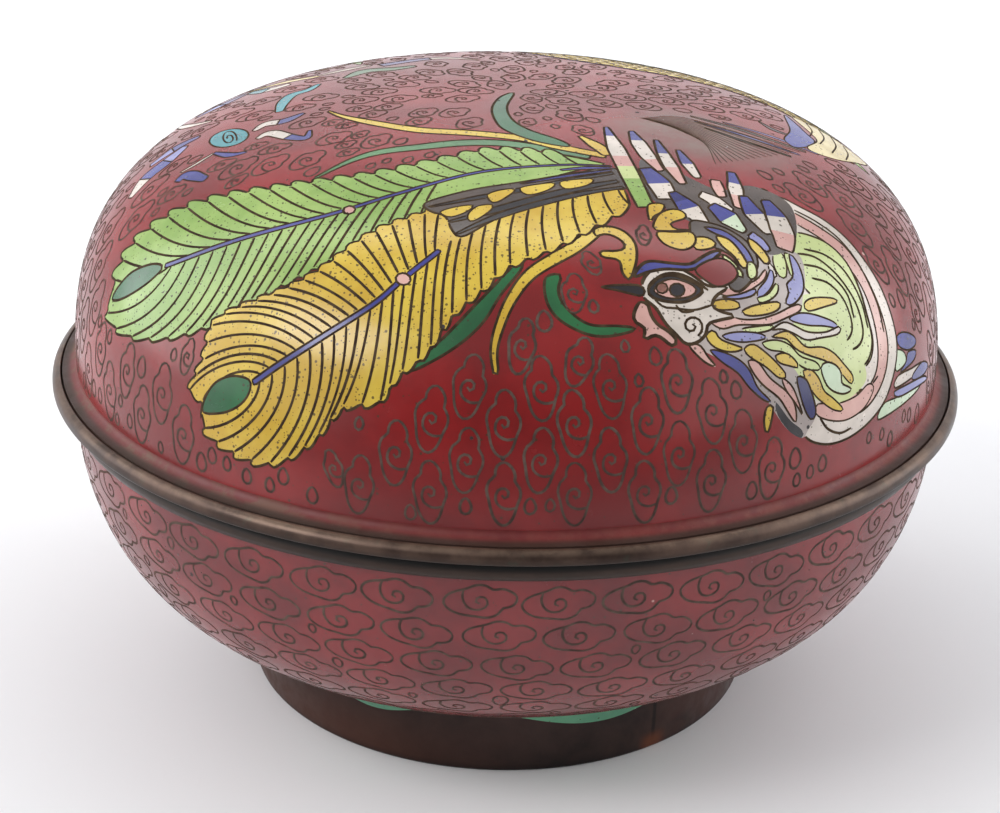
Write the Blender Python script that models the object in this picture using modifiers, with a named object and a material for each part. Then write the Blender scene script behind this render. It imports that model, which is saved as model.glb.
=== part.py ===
"""A round covered box of enamelled copper: a domed lid on a deep bowl, on a low foot ring.

Metres, +Z up. The origin is on the floor, at the centre of the foot ring.
Every piece is turned: a half section in the XZ plane, spun round Z by a Screw modifier.
"""

import math

import bpy

# Driving dimensions
RIM_DIAMETER = 0.160  # outer edge of the lid's copper lip
LIP_REACH = 0.0042  # from the dome's wall out to the edge of the lip
DOME_RISE = 0.0492  # from the widest level of the body to the top of the lid
BOWL_DEPTH = 0.0477  # from the widest level of the body to the underside of the bowl
BOWL_FULLNESS = 0.0006  # how much wider the bowl is than the dome, at the radius
FOOT_RECESS = 0.0101  # height of the bowl's underside above the floor
FOOT_RADIUS = 0.0456  # outside of the foot ring at the floor
FOOT_SPREAD = 0.0004  # how much wider the foot ring is where it meets the bowl

# Walls and clearances
WALL = 0.0022  # copper with its enamel on both faces
FOOT_WALL = 0.0018  # thickness of the foot's copper strip
JOINT_GAP = 0.0003  # between pieces that are soldered or rest on each other
COLLAR_PLAY = 0.0005  # between the bowl's standing collar and the lid

# The two copper rims
LIP_PLATE = 0.0012  # thickness of the lip under the lid's edge
LIP_BEAD = 0.0015  # width of the rounded copper edge outside the enamel
BEAD_RISE = 0.00255  # height of the bead above the underside of the lip
COVE_RISE = 0.0026  # height of the hollow curve from the lid's wall to the lip
BAND_HEIGHT = 0.0035  # height of the copper band round the bowl's mouth
BAND_REACH = 0.0014  # how far the band stands out past the bowl's wall
SEAT_DROP = 0.0009  # depth of the seat below the widest level of the body
COLLAR_HEIGHT = 0.0045  # height of the standing collar above the seat
COLLAR_WALL = 0.0014
EDGE = 0.0004  # softened corners

# Roundness of the two bodies: 2 is an ellipse, more is squarer
DOME_SQUARENESS = (2.73, 2.93)
BOWL_SQUARENESS = (3.66, 2.39)

# Fineness of the facets
STEPS_ROUND = 64
OUTER_STEPS = 13
INNER_STEPS = 9
COVE_STEPS = 3

DOME_RADIUS = RIM_DIAMETER / 2 - LIP_REACH
BOWL_RADIUS = DOME_RADIUS + BOWL_FULLNESS
WIDEST = FOOT_RECESS + BOWL_DEPTH
SEAT = WIDEST - SEAT_DROP
LIP_UNDERSIDE = SEAT + JOINT_GAP
LIP_INNER_RADIUS = DOME_RADIUS - WALL
LID_EDGE = LIP_UNDERSIDE + LIP_PLATE + JOINT_GAP
BEAD_TOP = LIP_UNDERSIDE + BEAD_RISE
BAND_BOTTOM = SEAT - BAND_HEIGHT
BOWL_EDGE = BAND_BOTTOM - JOINT_GAP


class BodyCurve:
    """A quarter of a squared ellipse: (radius / a) ** m + (height / b) ** n = 1."""

    def __init__(self, radius, height, squareness, upward):
        self.radius = radius
        self.height = height
        self.powers = squareness
        self.sign = 1 if upward else -1

    def radius_at(self, level):
        """Outside radius at a level above the floor."""
        share = min(1.0, max(0.0, self.sign * (level - WIDEST) / self.height))
        m, n = self.powers
        return self.radius * (1 - share**n) ** (1 / m)

    def level_at(self, radius):
        """Level above the floor at an outside radius."""
        m, n = self.powers
        share = (1 - (radius / self.radius) ** m) ** (1 / n)
        return WIDEST + self.sign * self.height * share

    def point(self, turn, inset=0.0):
        """The point at a turn from 0, at the widest level, to 90 degrees, on the axis."""
        m, n = self.powers
        across = max(0.0, math.cos(turn)) ** (2 / m)
        along = math.sin(turn) ** (2 / n)
        slope_r = m * across ** (m - 1) / self.radius
        slope_z = n * along ** (n - 1) / self.height
        length = math.hypot(slope_r, slope_z)
        radius = self.radius * across - inset * slope_r / length
        level = self.height * along - inset * slope_z / length
        return max(0.0, radius), WIDEST + self.sign * level

    def run(self, level, steps, inset=0.0):
        """Points from the axis to the wall, all beyond the given level."""
        points = []
        for step in range(steps):
            turn = math.pi / 2 * (1 - step / steps)
            radius, at = self.point(turn, inset)
            if self.sign * (at - level) > EDGE:
                points.append((radius, at))
        points[0] = (0.0, points[0][1])
        return points


DOME = BodyCurve(DOME_RADIUS, DOME_RISE, DOME_SQUARENESS, upward=True)
BOWL = BodyCurve(BOWL_RADIUS, BOWL_DEPTH, BOWL_SQUARENESS, upward=False)


def lid_shell_section():
    """From the top of the dome down its outside, over the cove, and back up the inside."""
    cove_top = BEAD_TOP + COVE_RISE
    edge_radius = RIM_DIAMETER / 2 - LIP_BEAD - JOINT_GAP
    wall_radius = DOME.radius_at(cove_top)
    section = DOME.run(cove_top, OUTER_STEPS)
    for step in range(COVE_STEPS + 1):
        turn = math.pi / 2 * step / COVE_STEPS
        radius = edge_radius - (edge_radius - wall_radius) * math.cos(turn)
        section.append((radius, cove_top - COVE_RISE * math.sin(turn)))
    section.append((edge_radius, LID_EDGE))
    section.append((LIP_INNER_RADIUS, LID_EDGE))
    section.extend(reversed(DOME.run(LID_EDGE, INNER_STEPS, inset=WALL)))
    return section


def lid_rim_section():
    """A flat ring under the lid's edge, with a rounded bead outside it."""
    outer = RIM_DIAMETER / 2
    inner_bead = outer - LIP_BEAD
    plate_top = LIP_UNDERSIDE + LIP_PLATE
    return [
        (inner_bead, BEAD_TOP),
        (outer - LIP_BEAD * 0.45, BEAD_TOP - EDGE * 0.75),
        (outer - LIP_BEAD * 0.1, BEAD_TOP - EDGE * 2.2),
        (outer, LIP_UNDERSIDE + BEAD_RISE * 0.43),
        (outer, LIP_UNDERSIDE + EDGE * 0.75),
        (outer - EDGE, LIP_UNDERSIDE),
        (LIP_INNER_RADIUS, LIP_UNDERSIDE),
        (LIP_INNER_RADIUS, plate_top),
        (inner_bead, plate_top),
    ]


def bowl_rim_section():
    """The collar that stands inside the lid, the seat, and the rounded band outside it."""
    collar_top = SEAT + COLLAR_HEIGHT
    lid_inside = min(LIP_INNER_RADIUS, DOME.radius_at(collar_top) - WALL)
    collar_outer = lid_inside - COLLAR_PLAY
    collar_inner = collar_outer - COLLAR_WALL
    band_outer = BOWL_RADIUS + BAND_REACH
    wall_inner = BOWL.radius_at(BOWL_EDGE) - WALL
    return [
        (collar_inner + EDGE, collar_top),
        (collar_outer - EDGE, collar_top),
        (collar_outer, collar_top - EDGE),
        (collar_outer, SEAT),
        (band_outer - BAND_REACH * 0.85, SEAT),
        (band_outer - BAND_REACH * 0.28, SEAT - BAND_HEIGHT * 0.17),
        (band_outer, SEAT - BAND_HEIGHT * 0.46),
        (band_outer - BAND_REACH * 0.08, SEAT - BAND_HEIGHT * 0.72),
        (band_outer - BAND_REACH * 0.5, BAND_BOTTOM),
        (wall_inner, BAND_BOTTOM),
        (collar_inner, SEAT - EDGE),
        (collar_inner, collar_top - EDGE),
    ]


def bowl_shell_section():
    """From the bottom of the inside up to the mouth, and down the outside to the underside."""
    outer_edge = BOWL.radius_at(BOWL_EDGE)
    section = BOWL.run(BOWL_EDGE, INNER_STEPS, inset=WALL)
    section.append((outer_edge - WALL, BOWL_EDGE))
    section.append((outer_edge, BOWL_EDGE))
    section.extend(reversed(BOWL.run(BOWL_EDGE, OUTER_STEPS)))
    return section


def foot_ring_section():
    """A strip on edge, its top cut to the slope of the bowl's underside."""
    inner = FOOT_RADIUS - FOOT_WALL
    top_outer = FOOT_RADIUS + FOOT_SPREAD
    top_inner = inner + FOOT_SPREAD
    return [
        (top_inner, BOWL.level_at(top_inner) - JOINT_GAP),
        (top_outer, BOWL.level_at(top_outer) - JOINT_GAP),
        (FOOT_RADIUS, EDGE),
        (FOOT_RADIUS - EDGE, 0.0),
        (inner + EDGE / 2, 0.0),
        (inner, EDGE / 2),
    ]


def clear_scene():
    for old in list(bpy.data.objects):
        bpy.data.objects.remove(old, do_unlink=True)


def finish_material(name, colour, metallic, roughness):
    material = bpy.data.materials.new(name)
    material.use_nodes = True
    shader = material.node_tree.nodes["Principled BSDF"]
    shader.inputs["Base Color"].default_value = (*colour, 1.0)
    shader.inputs["Metallic"].default_value = metallic
    shader.inputs["Roughness"].default_value = roughness
    material.diffuse_color = (*colour, 1.0)
    return material


def turned(name, section, closed, material, collection):
    """A solid of revolution. The section runs down its outer side."""
    mesh = bpy.data.meshes.new(name)
    edges = [(i, i + 1) for i in range(len(section) - 1)]
    if closed:
        edges.append((len(section) - 1, 0))
    mesh.from_pydata([(radius, 0.0, level) for radius, level in section], edges, [])
    mesh.materials.append(material)
    piece = bpy.data.objects.new(name, mesh)
    collection.objects.link(piece)
    spin = piece.modifiers.new("Turned", "SCREW")
    spin.axis = "Z"
    spin.angle = 2 * math.pi
    spin.steps = STEPS_ROUND
    spin.render_steps = STEPS_ROUND
    spin.use_merge_vertices = True
    spin.merge_threshold = 0.00001
    spin.use_smooth_shade = True
    return piece


def main():
    clear_scene()
    box = bpy.data.collections.new("covered_box")
    bpy.context.scene.collection.children.link(box)
    enamel = finish_material("red enamel", (0.28, 0.022, 0.026), 0.0, 0.22)
    copper = finish_material("dark copper", (0.14, 0.085, 0.062), 0.75, 0.42)
    turned("lid_shell", lid_shell_section(), False, enamel, box)
    turned("lid_rim", lid_rim_section(), True, copper, box)
    turned("bowl_rim", bowl_rim_section(), True, copper, box)
    turned("bowl_shell", bowl_shell_section(), False, enamel, box)
    turned("foot_ring", foot_ring_section(), True, copper, box)


main()
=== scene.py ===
"""The finish of a round covered box of cloisonne enamel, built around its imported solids.

Lengths are in metres in the scene and in millimetres on the box. The lid's figures are drawn in
pixels of the photograph's 1000 by 813 frame and carried onto the dome along the camera's rays.
What the photograph hides is drawn on the lid's plan, where a point is the direction from the top
of the dome and the distance along its surface.
"""

import math
import random

import bpy
import numpy as np
from mathutils import Matrix, Vector
from mathutils.geometry import delaunay_2d_cdt
from mathutils.kdtree import KDTree


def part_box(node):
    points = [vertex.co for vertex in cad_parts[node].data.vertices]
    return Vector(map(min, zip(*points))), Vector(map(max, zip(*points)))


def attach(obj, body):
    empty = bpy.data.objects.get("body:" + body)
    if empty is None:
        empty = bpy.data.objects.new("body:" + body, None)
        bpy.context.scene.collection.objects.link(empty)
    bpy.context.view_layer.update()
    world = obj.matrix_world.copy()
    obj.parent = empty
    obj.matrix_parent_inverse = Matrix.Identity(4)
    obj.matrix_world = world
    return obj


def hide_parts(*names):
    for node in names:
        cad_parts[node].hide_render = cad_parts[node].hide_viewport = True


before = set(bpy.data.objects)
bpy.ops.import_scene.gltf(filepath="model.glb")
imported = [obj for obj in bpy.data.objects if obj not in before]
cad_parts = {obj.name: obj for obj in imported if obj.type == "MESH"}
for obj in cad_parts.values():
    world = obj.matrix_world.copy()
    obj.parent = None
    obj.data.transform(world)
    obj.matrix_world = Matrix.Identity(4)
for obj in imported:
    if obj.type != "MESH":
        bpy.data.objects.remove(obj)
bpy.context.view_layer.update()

MM = 0.001
BODY = "root"


def box_mm(node):
    low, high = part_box(node)
    return [value / MM for value in low], [value / MM for value in high]


# Sizes read from the solids, in millimetres
LIP_BOX = box_mm("lid_rim")
LID_BOX = box_mm("lid_shell")
BAND_BOX = box_mm("bowl_rim")
BOWL_BOX = box_mm("bowl_shell")
FOOT_BOX = box_mm("foot_ring")
LIP_RADIUS = LIP_BOX[1][0]
LIP_UNDERSIDE = LIP_BOX[0][2]
BEAD_TOP = LIP_BOX[1][2]
LID_EDGE_RADIUS = LID_BOX[1][0]
LID_EDGE = LID_BOX[0][2]
LID_TOP = LID_BOX[1][2]
BAND_RADIUS = BAND_BOX[1][0]
BAND_BOTTOM = BAND_BOX[0][2]
COLLAR_TOP = BAND_BOX[1][2]
BOWL_EDGE = BOWL_BOX[1][2]
BOWL_UNDERSIDE = BOWL_BOX[0][2]
FOOT_TOP_RADIUS = FOOT_BOX[1][0]

# Sizes that the solids share and their boxes don't show
LIP_REACH = 4.2
BOWL_FULLNESS = 0.6
BOWL_DEPTH = 47.7
WALL = 2.2
LIP_PLATE = 1.2
LIP_BEAD = 1.5
COVE_RISE = 1.5
BAND_REACH = 1.4
BAND_HEIGHT = 3.5
COLLAR_PLAY = 0.5
COLLAR_WALL = 1.4
FOOT_SPREAD = 0.4
FOOT_WALL = 1.8
JOINT_GAP = 0.3
EDGE = 0.4
DOME_POWERS = (2.73, 2.93)
BOWL_POWERS = (3.66, 2.39)

DOME_RADIUS = LIP_RADIUS - LIP_REACH
BOWL_RADIUS = DOME_RADIUS + BOWL_FULLNESS
WIDEST = BOWL_UNDERSIDE + BOWL_DEPTH
SEAT = BAND_BOTTOM + BAND_HEIGHT
FOOT_RADIUS = FOOT_TOP_RADIUS - FOOT_SPREAD
AROUND = 288
ANGLES = 2 * math.pi * np.arange(AROUND) / AROUND

# The camera, fitted to the outlines in the photograph
PHOTO_WIDE, PHOTO_HIGH = 1000, 813
FOCAL_PIXELS = 2192.0
CAMERA_DISTANCE = 419.5
CAMERA_ELEVATION = 0.514
CAMERA_YAW = -0.002
CAMERA_PITCH = 0.106
CAMERA_ROLL = 0.027
SENSOR_WIDTH = 36.0
CLIP_START, CLIP_END = 0.01, 20.0


def turned_towards(a, b, angle):
    """Two directions at right angles, turned towards each other in their own plane."""
    return a * math.cos(angle) + b * math.sin(angle), b * math.cos(angle) - a * math.sin(angle)


def camera_axes():
    away, high = math.cos(CAMERA_ELEVATION), math.sin(CAMERA_ELEVATION)
    place = np.array((0.0, -CAMERA_DISTANCE * away, CAMERA_DISTANCE * high))
    forward = np.array((0.0, away, -high))
    right = np.array((1.0, 0.0, 0.0))
    up = np.cross(right, forward)
    forward, right = turned_towards(forward, right, CAMERA_YAW)
    forward, up = turned_towards(forward, up, CAMERA_PITCH)
    right, up = turned_towards(right, up, CAMERA_ROLL)
    return place, right, up, forward


EYE, RIGHT, UP, FORWARD = camera_axes()


def make_camera():
    data = bpy.data.cameras.new("camera")
    data.sensor_width = SENSOR_WIDTH
    data.lens = FOCAL_PIXELS / PHOTO_WIDE * SENSOR_WIDTH
    data.clip_start, data.clip_end = CLIP_START, CLIP_END
    camera = bpy.data.objects.new("camera", data)
    turn = Matrix((RIGHT, UP, -FORWARD)).transposed()
    camera.matrix_world = Matrix.Translation(EYE * MM) @ turn.to_4x4()
    bpy.context.scene.collection.objects.link(camera)
    bpy.context.scene.camera = camera


# Half sections, in millimetres


class BodyCurve:
    """A quarter of a squared ellipse: (radius / a) ** m + (height / b) ** n = 1."""

    def __init__(self, radius, height, powers, upward):
        self.radius = radius
        self.height = height
        self.powers = powers
        self.sign = 1 if upward else -1

    def radius_at(self, level):
        m, n = self.powers
        share = min(1.0, max(0.0, self.sign * (level - WIDEST) / self.height))
        return self.radius * (1 - share**n) ** (1 / m)

    def level_at(self, radius):
        m, n = self.powers
        return WIDEST + self.sign * self.height * (1 - (radius / self.radius) ** m) ** (1 / n)

    def point(self, turn, inset=0.0):
        """The point at a turn from 0, at the widest level, to a right angle, on the axis."""
        m, n = self.powers
        across = max(0.0, math.cos(turn)) ** (2 / m)
        along = math.sin(turn) ** (2 / n)
        slope_r = m * across ** (m - 1) / self.radius
        slope_z = n * along ** (n - 1) / self.height
        length = math.hypot(slope_r, slope_z)
        radius = self.radius * across - inset * slope_r / length
        level = self.height * along - inset * slope_z / length
        return max(0.0, radius), WIDEST + self.sign * level

    def run(self, level, inset=0.0, steps=160, clear=0.05):
        """Points from the axis to the wall, all clear of the given level."""
        found = []
        for step in range(steps):
            radius, at = self.point(math.pi / 2 * (1 - step / steps), inset)
            if self.sign * (at - level) > clear:
                found.append((radius, at))
        found[0] = (0.0, found[0][1])
        return found


DOME = BodyCurve(DOME_RADIUS, LID_TOP - WIDEST, DOME_POWERS, upward=True)
BOWL = BodyCurve(BOWL_RADIUS, BOWL_DEPTH, BOWL_POWERS, upward=False)


def round_axis(radius, angle, level):
    """Points or normals at these radii, angles and levels."""
    return np.stack([radius * np.cos(angle), radius * np.sin(angle), level], -1)


class Profile:
    """A half section read by the distance along it."""

    def __init__(self, points):
        self.points = np.array(points, float)
        steps = np.linalg.norm(np.diff(self.points, axis=0), axis=1)
        self.at = np.concatenate([[0.0], np.cumsum(steps)])
        self.length = self.at[-1]

    def place(self, along):
        radius = np.interp(along, self.at, self.points[:, 0])
        level = np.interp(along, self.at, self.points[:, 1])
        return radius, level

    def normal(self, along, outward, reach=0.3):
        """The unit normal in the half plane. Outward is 1 or -1, as the profile runs."""
        r0, z0 = self.place(np.clip(along - reach, 0, self.length))
        r1, z1 = self.place(np.clip(along + reach, 0, self.length))
        size = np.maximum(np.hypot(r1 - r0, z1 - z0), 1e-9) * outward
        return (z0 - z1) / size, (r1 - r0) / size

    def along_at_radius(self, radius):
        return float(np.interp(radius, self.points[:, 0], self.at))


class Surface:
    """A turned surface read by plan points, each a direction times a distance along."""

    def __init__(self, profile, outward):
        self.profile = profile
        self.outward = outward

    def lay(self, plan):
        """Places and normals on the surface."""
        plan = np.asarray(plan, float)
        return self.at(np.hypot(plan[:, 0], plan[:, 1]), np.arctan2(plan[:, 1], plan[:, 0]))

    def at(self, along, angle):
        radius, level = self.profile.place(along)
        out, up = self.profile.normal(along, self.outward)
        return round_axis(radius, angle, level), round_axis(out, angle, up)

    def local(self, along, angle, points):
        """Plan points from points in real millimetres: across to the left, and outward."""
        points = np.asarray(points, float)
        radius = max(float(self.profile.place(along)[0]), 1.0)
        away = np.array([math.cos(angle), math.sin(angle)])
        across = np.array([-away[1], away[0]]) * max(1.0, along) / radius
        return away * (along + points[:, 1:2]) + across * points[:, 0:1]


COVE_TOP = BEAD_TOP + COVE_RISE


def cove_points(steps=12):
    """The hollow curve from the dome's wall out to the lid's edge."""
    wall = DOME.radius_at(COVE_TOP)
    found = []
    for step in range(steps + 1):
        turn = math.pi / 2 * step / steps
        radius = LID_EDGE_RADIUS - (LID_EDGE_RADIUS - wall) * math.cos(turn)
        found.append((radius, COVE_TOP - COVE_RISE * math.sin(turn)))
    return found


DOME_PROFILE = Profile(DOME.run(COVE_TOP) + [(DOME.radius_at(COVE_TOP), COVE_TOP)])
BOWL_PROFILE = Profile(BOWL.run(BOWL_EDGE) + [(BOWL.radius_at(BOWL_EDGE), BOWL_EDGE)])
LID = Surface(DOME_PROFILE, outward=1)
SIDE = Surface(BOWL_PROFILE, outward=-1)
PICTURE_END = DOME_PROFILE.length
BOWL_END = BOWL_PROFILE.length


# From the photograph's pixels to the lid's plan


def plan_table(steps=400):
    """The distance from the top of the dome for each turn away from its axis."""
    turns = np.linspace(0, math.pi / 2, steps)
    points = np.array([DOME.point(math.pi / 2 - turn) for turn in turns])
    points[0, 0] = 0.0
    lengths = np.linalg.norm(np.diff(points, axis=0), axis=1)
    return turns, np.concatenate([[0.0], np.cumsum(lengths)])


PLAN_TURNS, PLAN_LENGTHS = plan_table()

# Where along a ray the dome is looked for, how often the find is halved, and the plan's bare rim
RAY_NEAR, RAY_FAR, RAY_STEPS = 250.0, 520.0, 271
HALVINGS = 30
PICTURE_MARGIN = 0.6


def dome_excess(places):
    """Below zero inside the dome and above zero outside it."""
    m, n = DOME_POWERS
    radius = np.hypot(places[..., 0], places[..., 1]) / DOME.radius
    share = (places[..., 2] - WIDEST) / DOME.height
    return radius**m + np.abs(share) ** n * np.sign(share) - 1


def on_plan(pixels):
    """The lid's plan points that these pixels show."""
    pixels = np.asarray(pixels, float)
    right = (pixels[:, 0] - PHOTO_WIDE / 2) / FOCAL_PIXELS
    up = (PHOTO_HIGH / 2 - pixels[:, 1]) / FOCAL_PIXELS
    rays = FORWARD + right[:, None] * RIGHT + up[:, None] * UP
    reach = np.linspace(RAY_NEAR, RAY_FAR, RAY_STEPS)
    excess = dome_excess(EYE + rays[:, None, :] * reach[None, :, None])
    inside = excess < 0
    first = np.where(inside.any(1), inside.argmax(1), excess.argmin(1))
    low, high = reach[np.maximum(first - 1, 0)], reach[first]
    for _ in range(HALVINGS):
        middle = (low + high) / 2
        hit = dome_excess(EYE + rays * middle[:, None]) < 0
        high = np.where(hit, middle, high)
        low = np.where(hit, low, middle)
    places = EYE + rays * high[:, None]
    m, n = DOME_POWERS
    across = (np.hypot(places[:, 0], places[:, 1]) / DOME.radius) ** (m / 2)
    rise = np.clip((places[:, 2] - WIDEST) / DOME.height, 0, 1) ** (n / 2)
    along = np.interp(np.arctan2(across, rise), PLAN_TURNS, PLAN_LENGTHS)
    along = np.minimum(along, PICTURE_END - PICTURE_MARGIN)
    angle = np.arctan2(places[:, 1], places[:, 0])
    return np.stack([along * np.cos(angle), along * np.sin(angle)], -1)


def as_drawn(points):
    """For figures drawn on the plan itself."""
    return np.asarray(points, float)


CURVE_STEPS = {on_plan: 2.0, as_drawn: 0.4}


# Lines


def smooth(points, closed=False, step=2.0):
    """A curve through the points, sampled about every step."""
    points = np.asarray(points, float)
    if closed:
        ring = np.concatenate([points[-1:], points, points[:2]])
    else:
        ring = np.concatenate([2 * points[:1] - points[1:2], points, 2 * points[-1:] - points[-2:-1]])
    found = []
    for a, b, c, d in zip(ring, ring[1:], ring[2:], ring[3:]):
        count = max(1, math.ceil(np.linalg.norm(c - b) / step))
        t = (np.arange(count) / count)[:, None]
        square, cube = t**2, t**3
        bend = 2 * a - 5 * b + 4 * c - d
        found.append(0.5 * (2 * b + (c - a) * t + bend * square + (3 * b - a - 3 * c + d) * cube))
    if not closed:
        found.append(points[-1:])
    return np.concatenate(found)


def lengths_along(points):
    steps = np.linalg.norm(np.diff(points, axis=0), axis=1)
    return np.concatenate([[0.0], np.cumsum(steps)])


def at_shares(points, shares):
    """Points at these shares of a line's length."""
    at = lengths_along(points)
    wanted = np.asarray(shares) * at[-1]
    return np.stack([np.interp(wanted, at, points[:, k]) for k in range(points.shape[1])], -1)


def closed_up(points):
    return np.concatenate([points, points[:1]])


def resampled(points, spacing, closed=False):
    """The same line with even steps of about the spacing."""
    points = np.asarray(points, float)
    if closed:
        points = closed_up(points)
    count = max(2, round(lengths_along(points)[-1] / spacing))
    shares = np.linspace(0, 1, count + 1)
    return at_shares(points, shares[:-1] if closed else shares)


def directions(line):
    """The unit direction of a line at each of its points."""
    way = np.gradient(line, axis=0)
    return way / np.maximum(np.linalg.norm(way, axis=1, keepdims=True), 1e-9)


def bent_point(a, b, c, t):
    """A point of a simple bend from a to c that leans towards b."""
    return a * (1 - t) ** 2 + 2 * b * t * (1 - t) + c * t**2


def bezier(a, b, c, d, steps=12):
    t = np.linspace(0, 1, steps + 1)[:, None]
    return a * (1 - t) ** 3 + 3 * b * t * (1 - t) ** 2 + 3 * c * t**2 * (1 - t) + d * t**3


def turned_by(vector, degrees):
    turn = math.radians(degrees)
    x, y = vector
    return np.array((x * math.cos(turn) - y * math.sin(turn), x * math.sin(turn) + y * math.cos(turn)))


def sides_of(middle, breadths):
    """The left and right sides of a strip along a line, with its breadths from end to end."""
    way = directions(middle)
    across = np.stack([-way[:, 1], way[:, 0]], -1)
    shares = np.linspace(0, 1, len(middle))
    half = np.interp(shares, np.linspace(0, 1, len(breadths)), breadths)[:, None] / 2
    return middle + across * half, middle - across * half


def inside_polygon(places, polygon):
    """Which of these points the polygon holds."""
    found = np.zeros(len(places), bool)
    low, high = polygon.min(0), polygon.max(0)
    near = np.nonzero(((places >= low) & (places <= high)).all(1))[0]
    if not len(near):
        return found
    x, y = places[near, 0:1], places[near, 1:2]
    x0, y0 = polygon[:, 0][None], polygon[:, 1][None]
    x1, y1 = np.roll(polygon[:, 0], -1)[None], np.roll(polygon[:, 1], -1)[None]
    rise = np.where(y1 == y0, 1e-12, y1 - y0)
    hits = ((y0 > y) != (y1 > y)) & (x < x0 + (y - y0) * (x1 - x0) / rise)
    found[near] = hits.sum(1) % 2 == 1
    return found


# The picture: coloured areas laid one over another, with wires that later areas cover

ON_RED = 0.0
IN_FIGURE = 1.0
HAIR = 0.14
FINE = 0.32
WIRE = 0.42
BOLD = 0.55
AREA_STEP = 0.8
WIRE_STEP = 0.75
WIRE_EDGE_RISE = 0.012
WIRE_CROWN = 0.05


class Picture:
    """Areas and wires on the lid's plan, from points that are read as mapped says."""

    def __init__(self):
        self.areas = []
        self.wires = []
        self.mapped = on_plan

    def plan(self, points, curved=True, closed=False):
        shape = smooth(points, closed, CURVE_STEPS[self.mapped]) if curved else points
        return self.mapped(shape)

    def wire(self, plan, width):
        self.wires.append((np.asarray(plan, float), width, len(self.areas)))

    def area(self, colour, points, width=WIRE, curved=True):
        """A closed area, with a wire round it unless the width is 0."""
        plan = resampled(self.plan(points, curved, closed=True), AREA_STEP, closed=True)
        self.areas.append((colour, plan))
        if width:
            self.wire(closed_up(plan), width)

    def line(self, points, width=WIRE, curved=True):
        self.wire(self.plan(points, curved), width)

    def strip(self, colours, points, breadths, width=WIRE, parted=True):
        """A long area with its breadths in millimetres, in one colour or several in turn."""
        middle = resampled(self.plan(points), AREA_STEP / 2)
        left, right = sides_of(middle, breadths)
        last = len(middle) - 1
        stops = [round(last * k / len(colours)) for k in range(len(colours) + 1)]
        for colour, start, end in zip(colours, stops, stops[1:]):
            part = slice(start, end + 1)
            self.areas.append((colour, np.concatenate([left[part], right[part][::-1]])))
        if width:
            self.wire(np.concatenate([left, right[::-1], left[:1]]), width)
            for stop in stops[1:-1] if parted else []:
                self.wire(np.stack([left[stop], middle[stop], right[stop]]), FINE)

    def covered(self, plan, order):
        """Which plan points lie in an area laid at this place in the order or later."""
        found = np.zeros(len(plan), bool)
        for _, polygon in self.areas[order:]:
            found |= inside_polygon(plan, polygon)
        return found


def oval(middle, across, high, tilt=0.0, steps=14):
    """Points of an oval."""
    found = []
    for step in range(steps):
        turn = 2 * math.pi * step / steps
        found.append(np.array(middle) + turned_by((across * math.cos(turn), high * math.sin(turn)), tilt))
    return found


def spiral(middle, start, end, turns, begin, steps=26):
    """Points of a spiral from one radius to another, begun in a direction in degrees."""
    found = []
    for step in range(steps + 1):
        share = step / steps
        radius = start + (end - start) * share
        turn = math.radians(begin) - 2 * math.pi * turns * share
        found.append((middle[0] + radius * math.cos(turn), middle[1] + radius * math.sin(turn)))
    return found


# Tail feathers: barbs from a shaft out to a scalloped edge


BARB_PULL = 0.36
LOBE_PULL = 0.4


class Vane:
    """One side of a feather, from its tip to its root.

    Barbs stand evenly between two shares of the edge's length and two of the shaft's. Each lean
    is a share along the feather, then the barb's turn off its chord at the shaft and at the edge.
    """

    def __init__(self, edge, barbs, on_edge, on_shaft, leans, bulge):
        self.edge = edge
        self.barbs = barbs
        self.on_edge = on_edge
        self.on_shaft = on_shaft
        self.leans = leans
        self.bulge = bulge


def barb_lines(vane, shaft):
    """Each barb as a curve from the shaft to the edge."""
    shares = np.linspace(0, 1, vane.barbs)
    ends = at_shares(smooth(vane.edge), np.interp(shares, (0, 1), vane.on_edge))
    starts = at_shares(shaft, np.interp(shares, (0, 1), vane.on_shaft))
    knots, first, last = zip(*vane.leans)
    lines = []
    for share, start, end in zip(shares, starts, ends):
        chord = (end - start) * BARB_PULL
        leave = turned_by(chord, float(np.interp(share, knots, first)))
        arrive = turned_by(chord, float(np.interp(share, knots, last)))
        lines.append(bezier(start, start + leave, end - arrive, end))
    return lines


def scallops(vane, lines, outward):
    """The edge as one lobe after another between the barbs' ends."""
    edge = []
    for line, following in zip(lines, lines[1:]):
        start, end = line[-1], following[-1]
        across = end - start
        out = outward * vane.bulge * np.array((across[1], -across[0]))
        pull = (start - line[-3]) * LOBE_PULL
        edge.append(bezier(start, start + pull + out, (start + end) / 2 + out, end, steps=6)[:-1])
    edge.append(lines[-1][-1:])
    return np.concatenate(edge)


def feather(picture, colour, shaft_points, upper, lower, tip, root):
    """Fills a feather and draws its barbs. Tip and root are points that close its outline."""
    shaft = smooth(shaft_points)
    upper_lines = barb_lines(upper, shaft)
    lower_lines = barb_lines(lower, shaft)
    top = scallops(upper, upper_lines, 1)
    bottom = scallops(lower, lower_lines, -1)
    outline = np.concatenate([tip, top, root, bottom[::-1]])
    picture.area(colour, outline, curved=False)
    for line in upper_lines + lower_lines:
        picture.line(line, curved=False)


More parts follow.
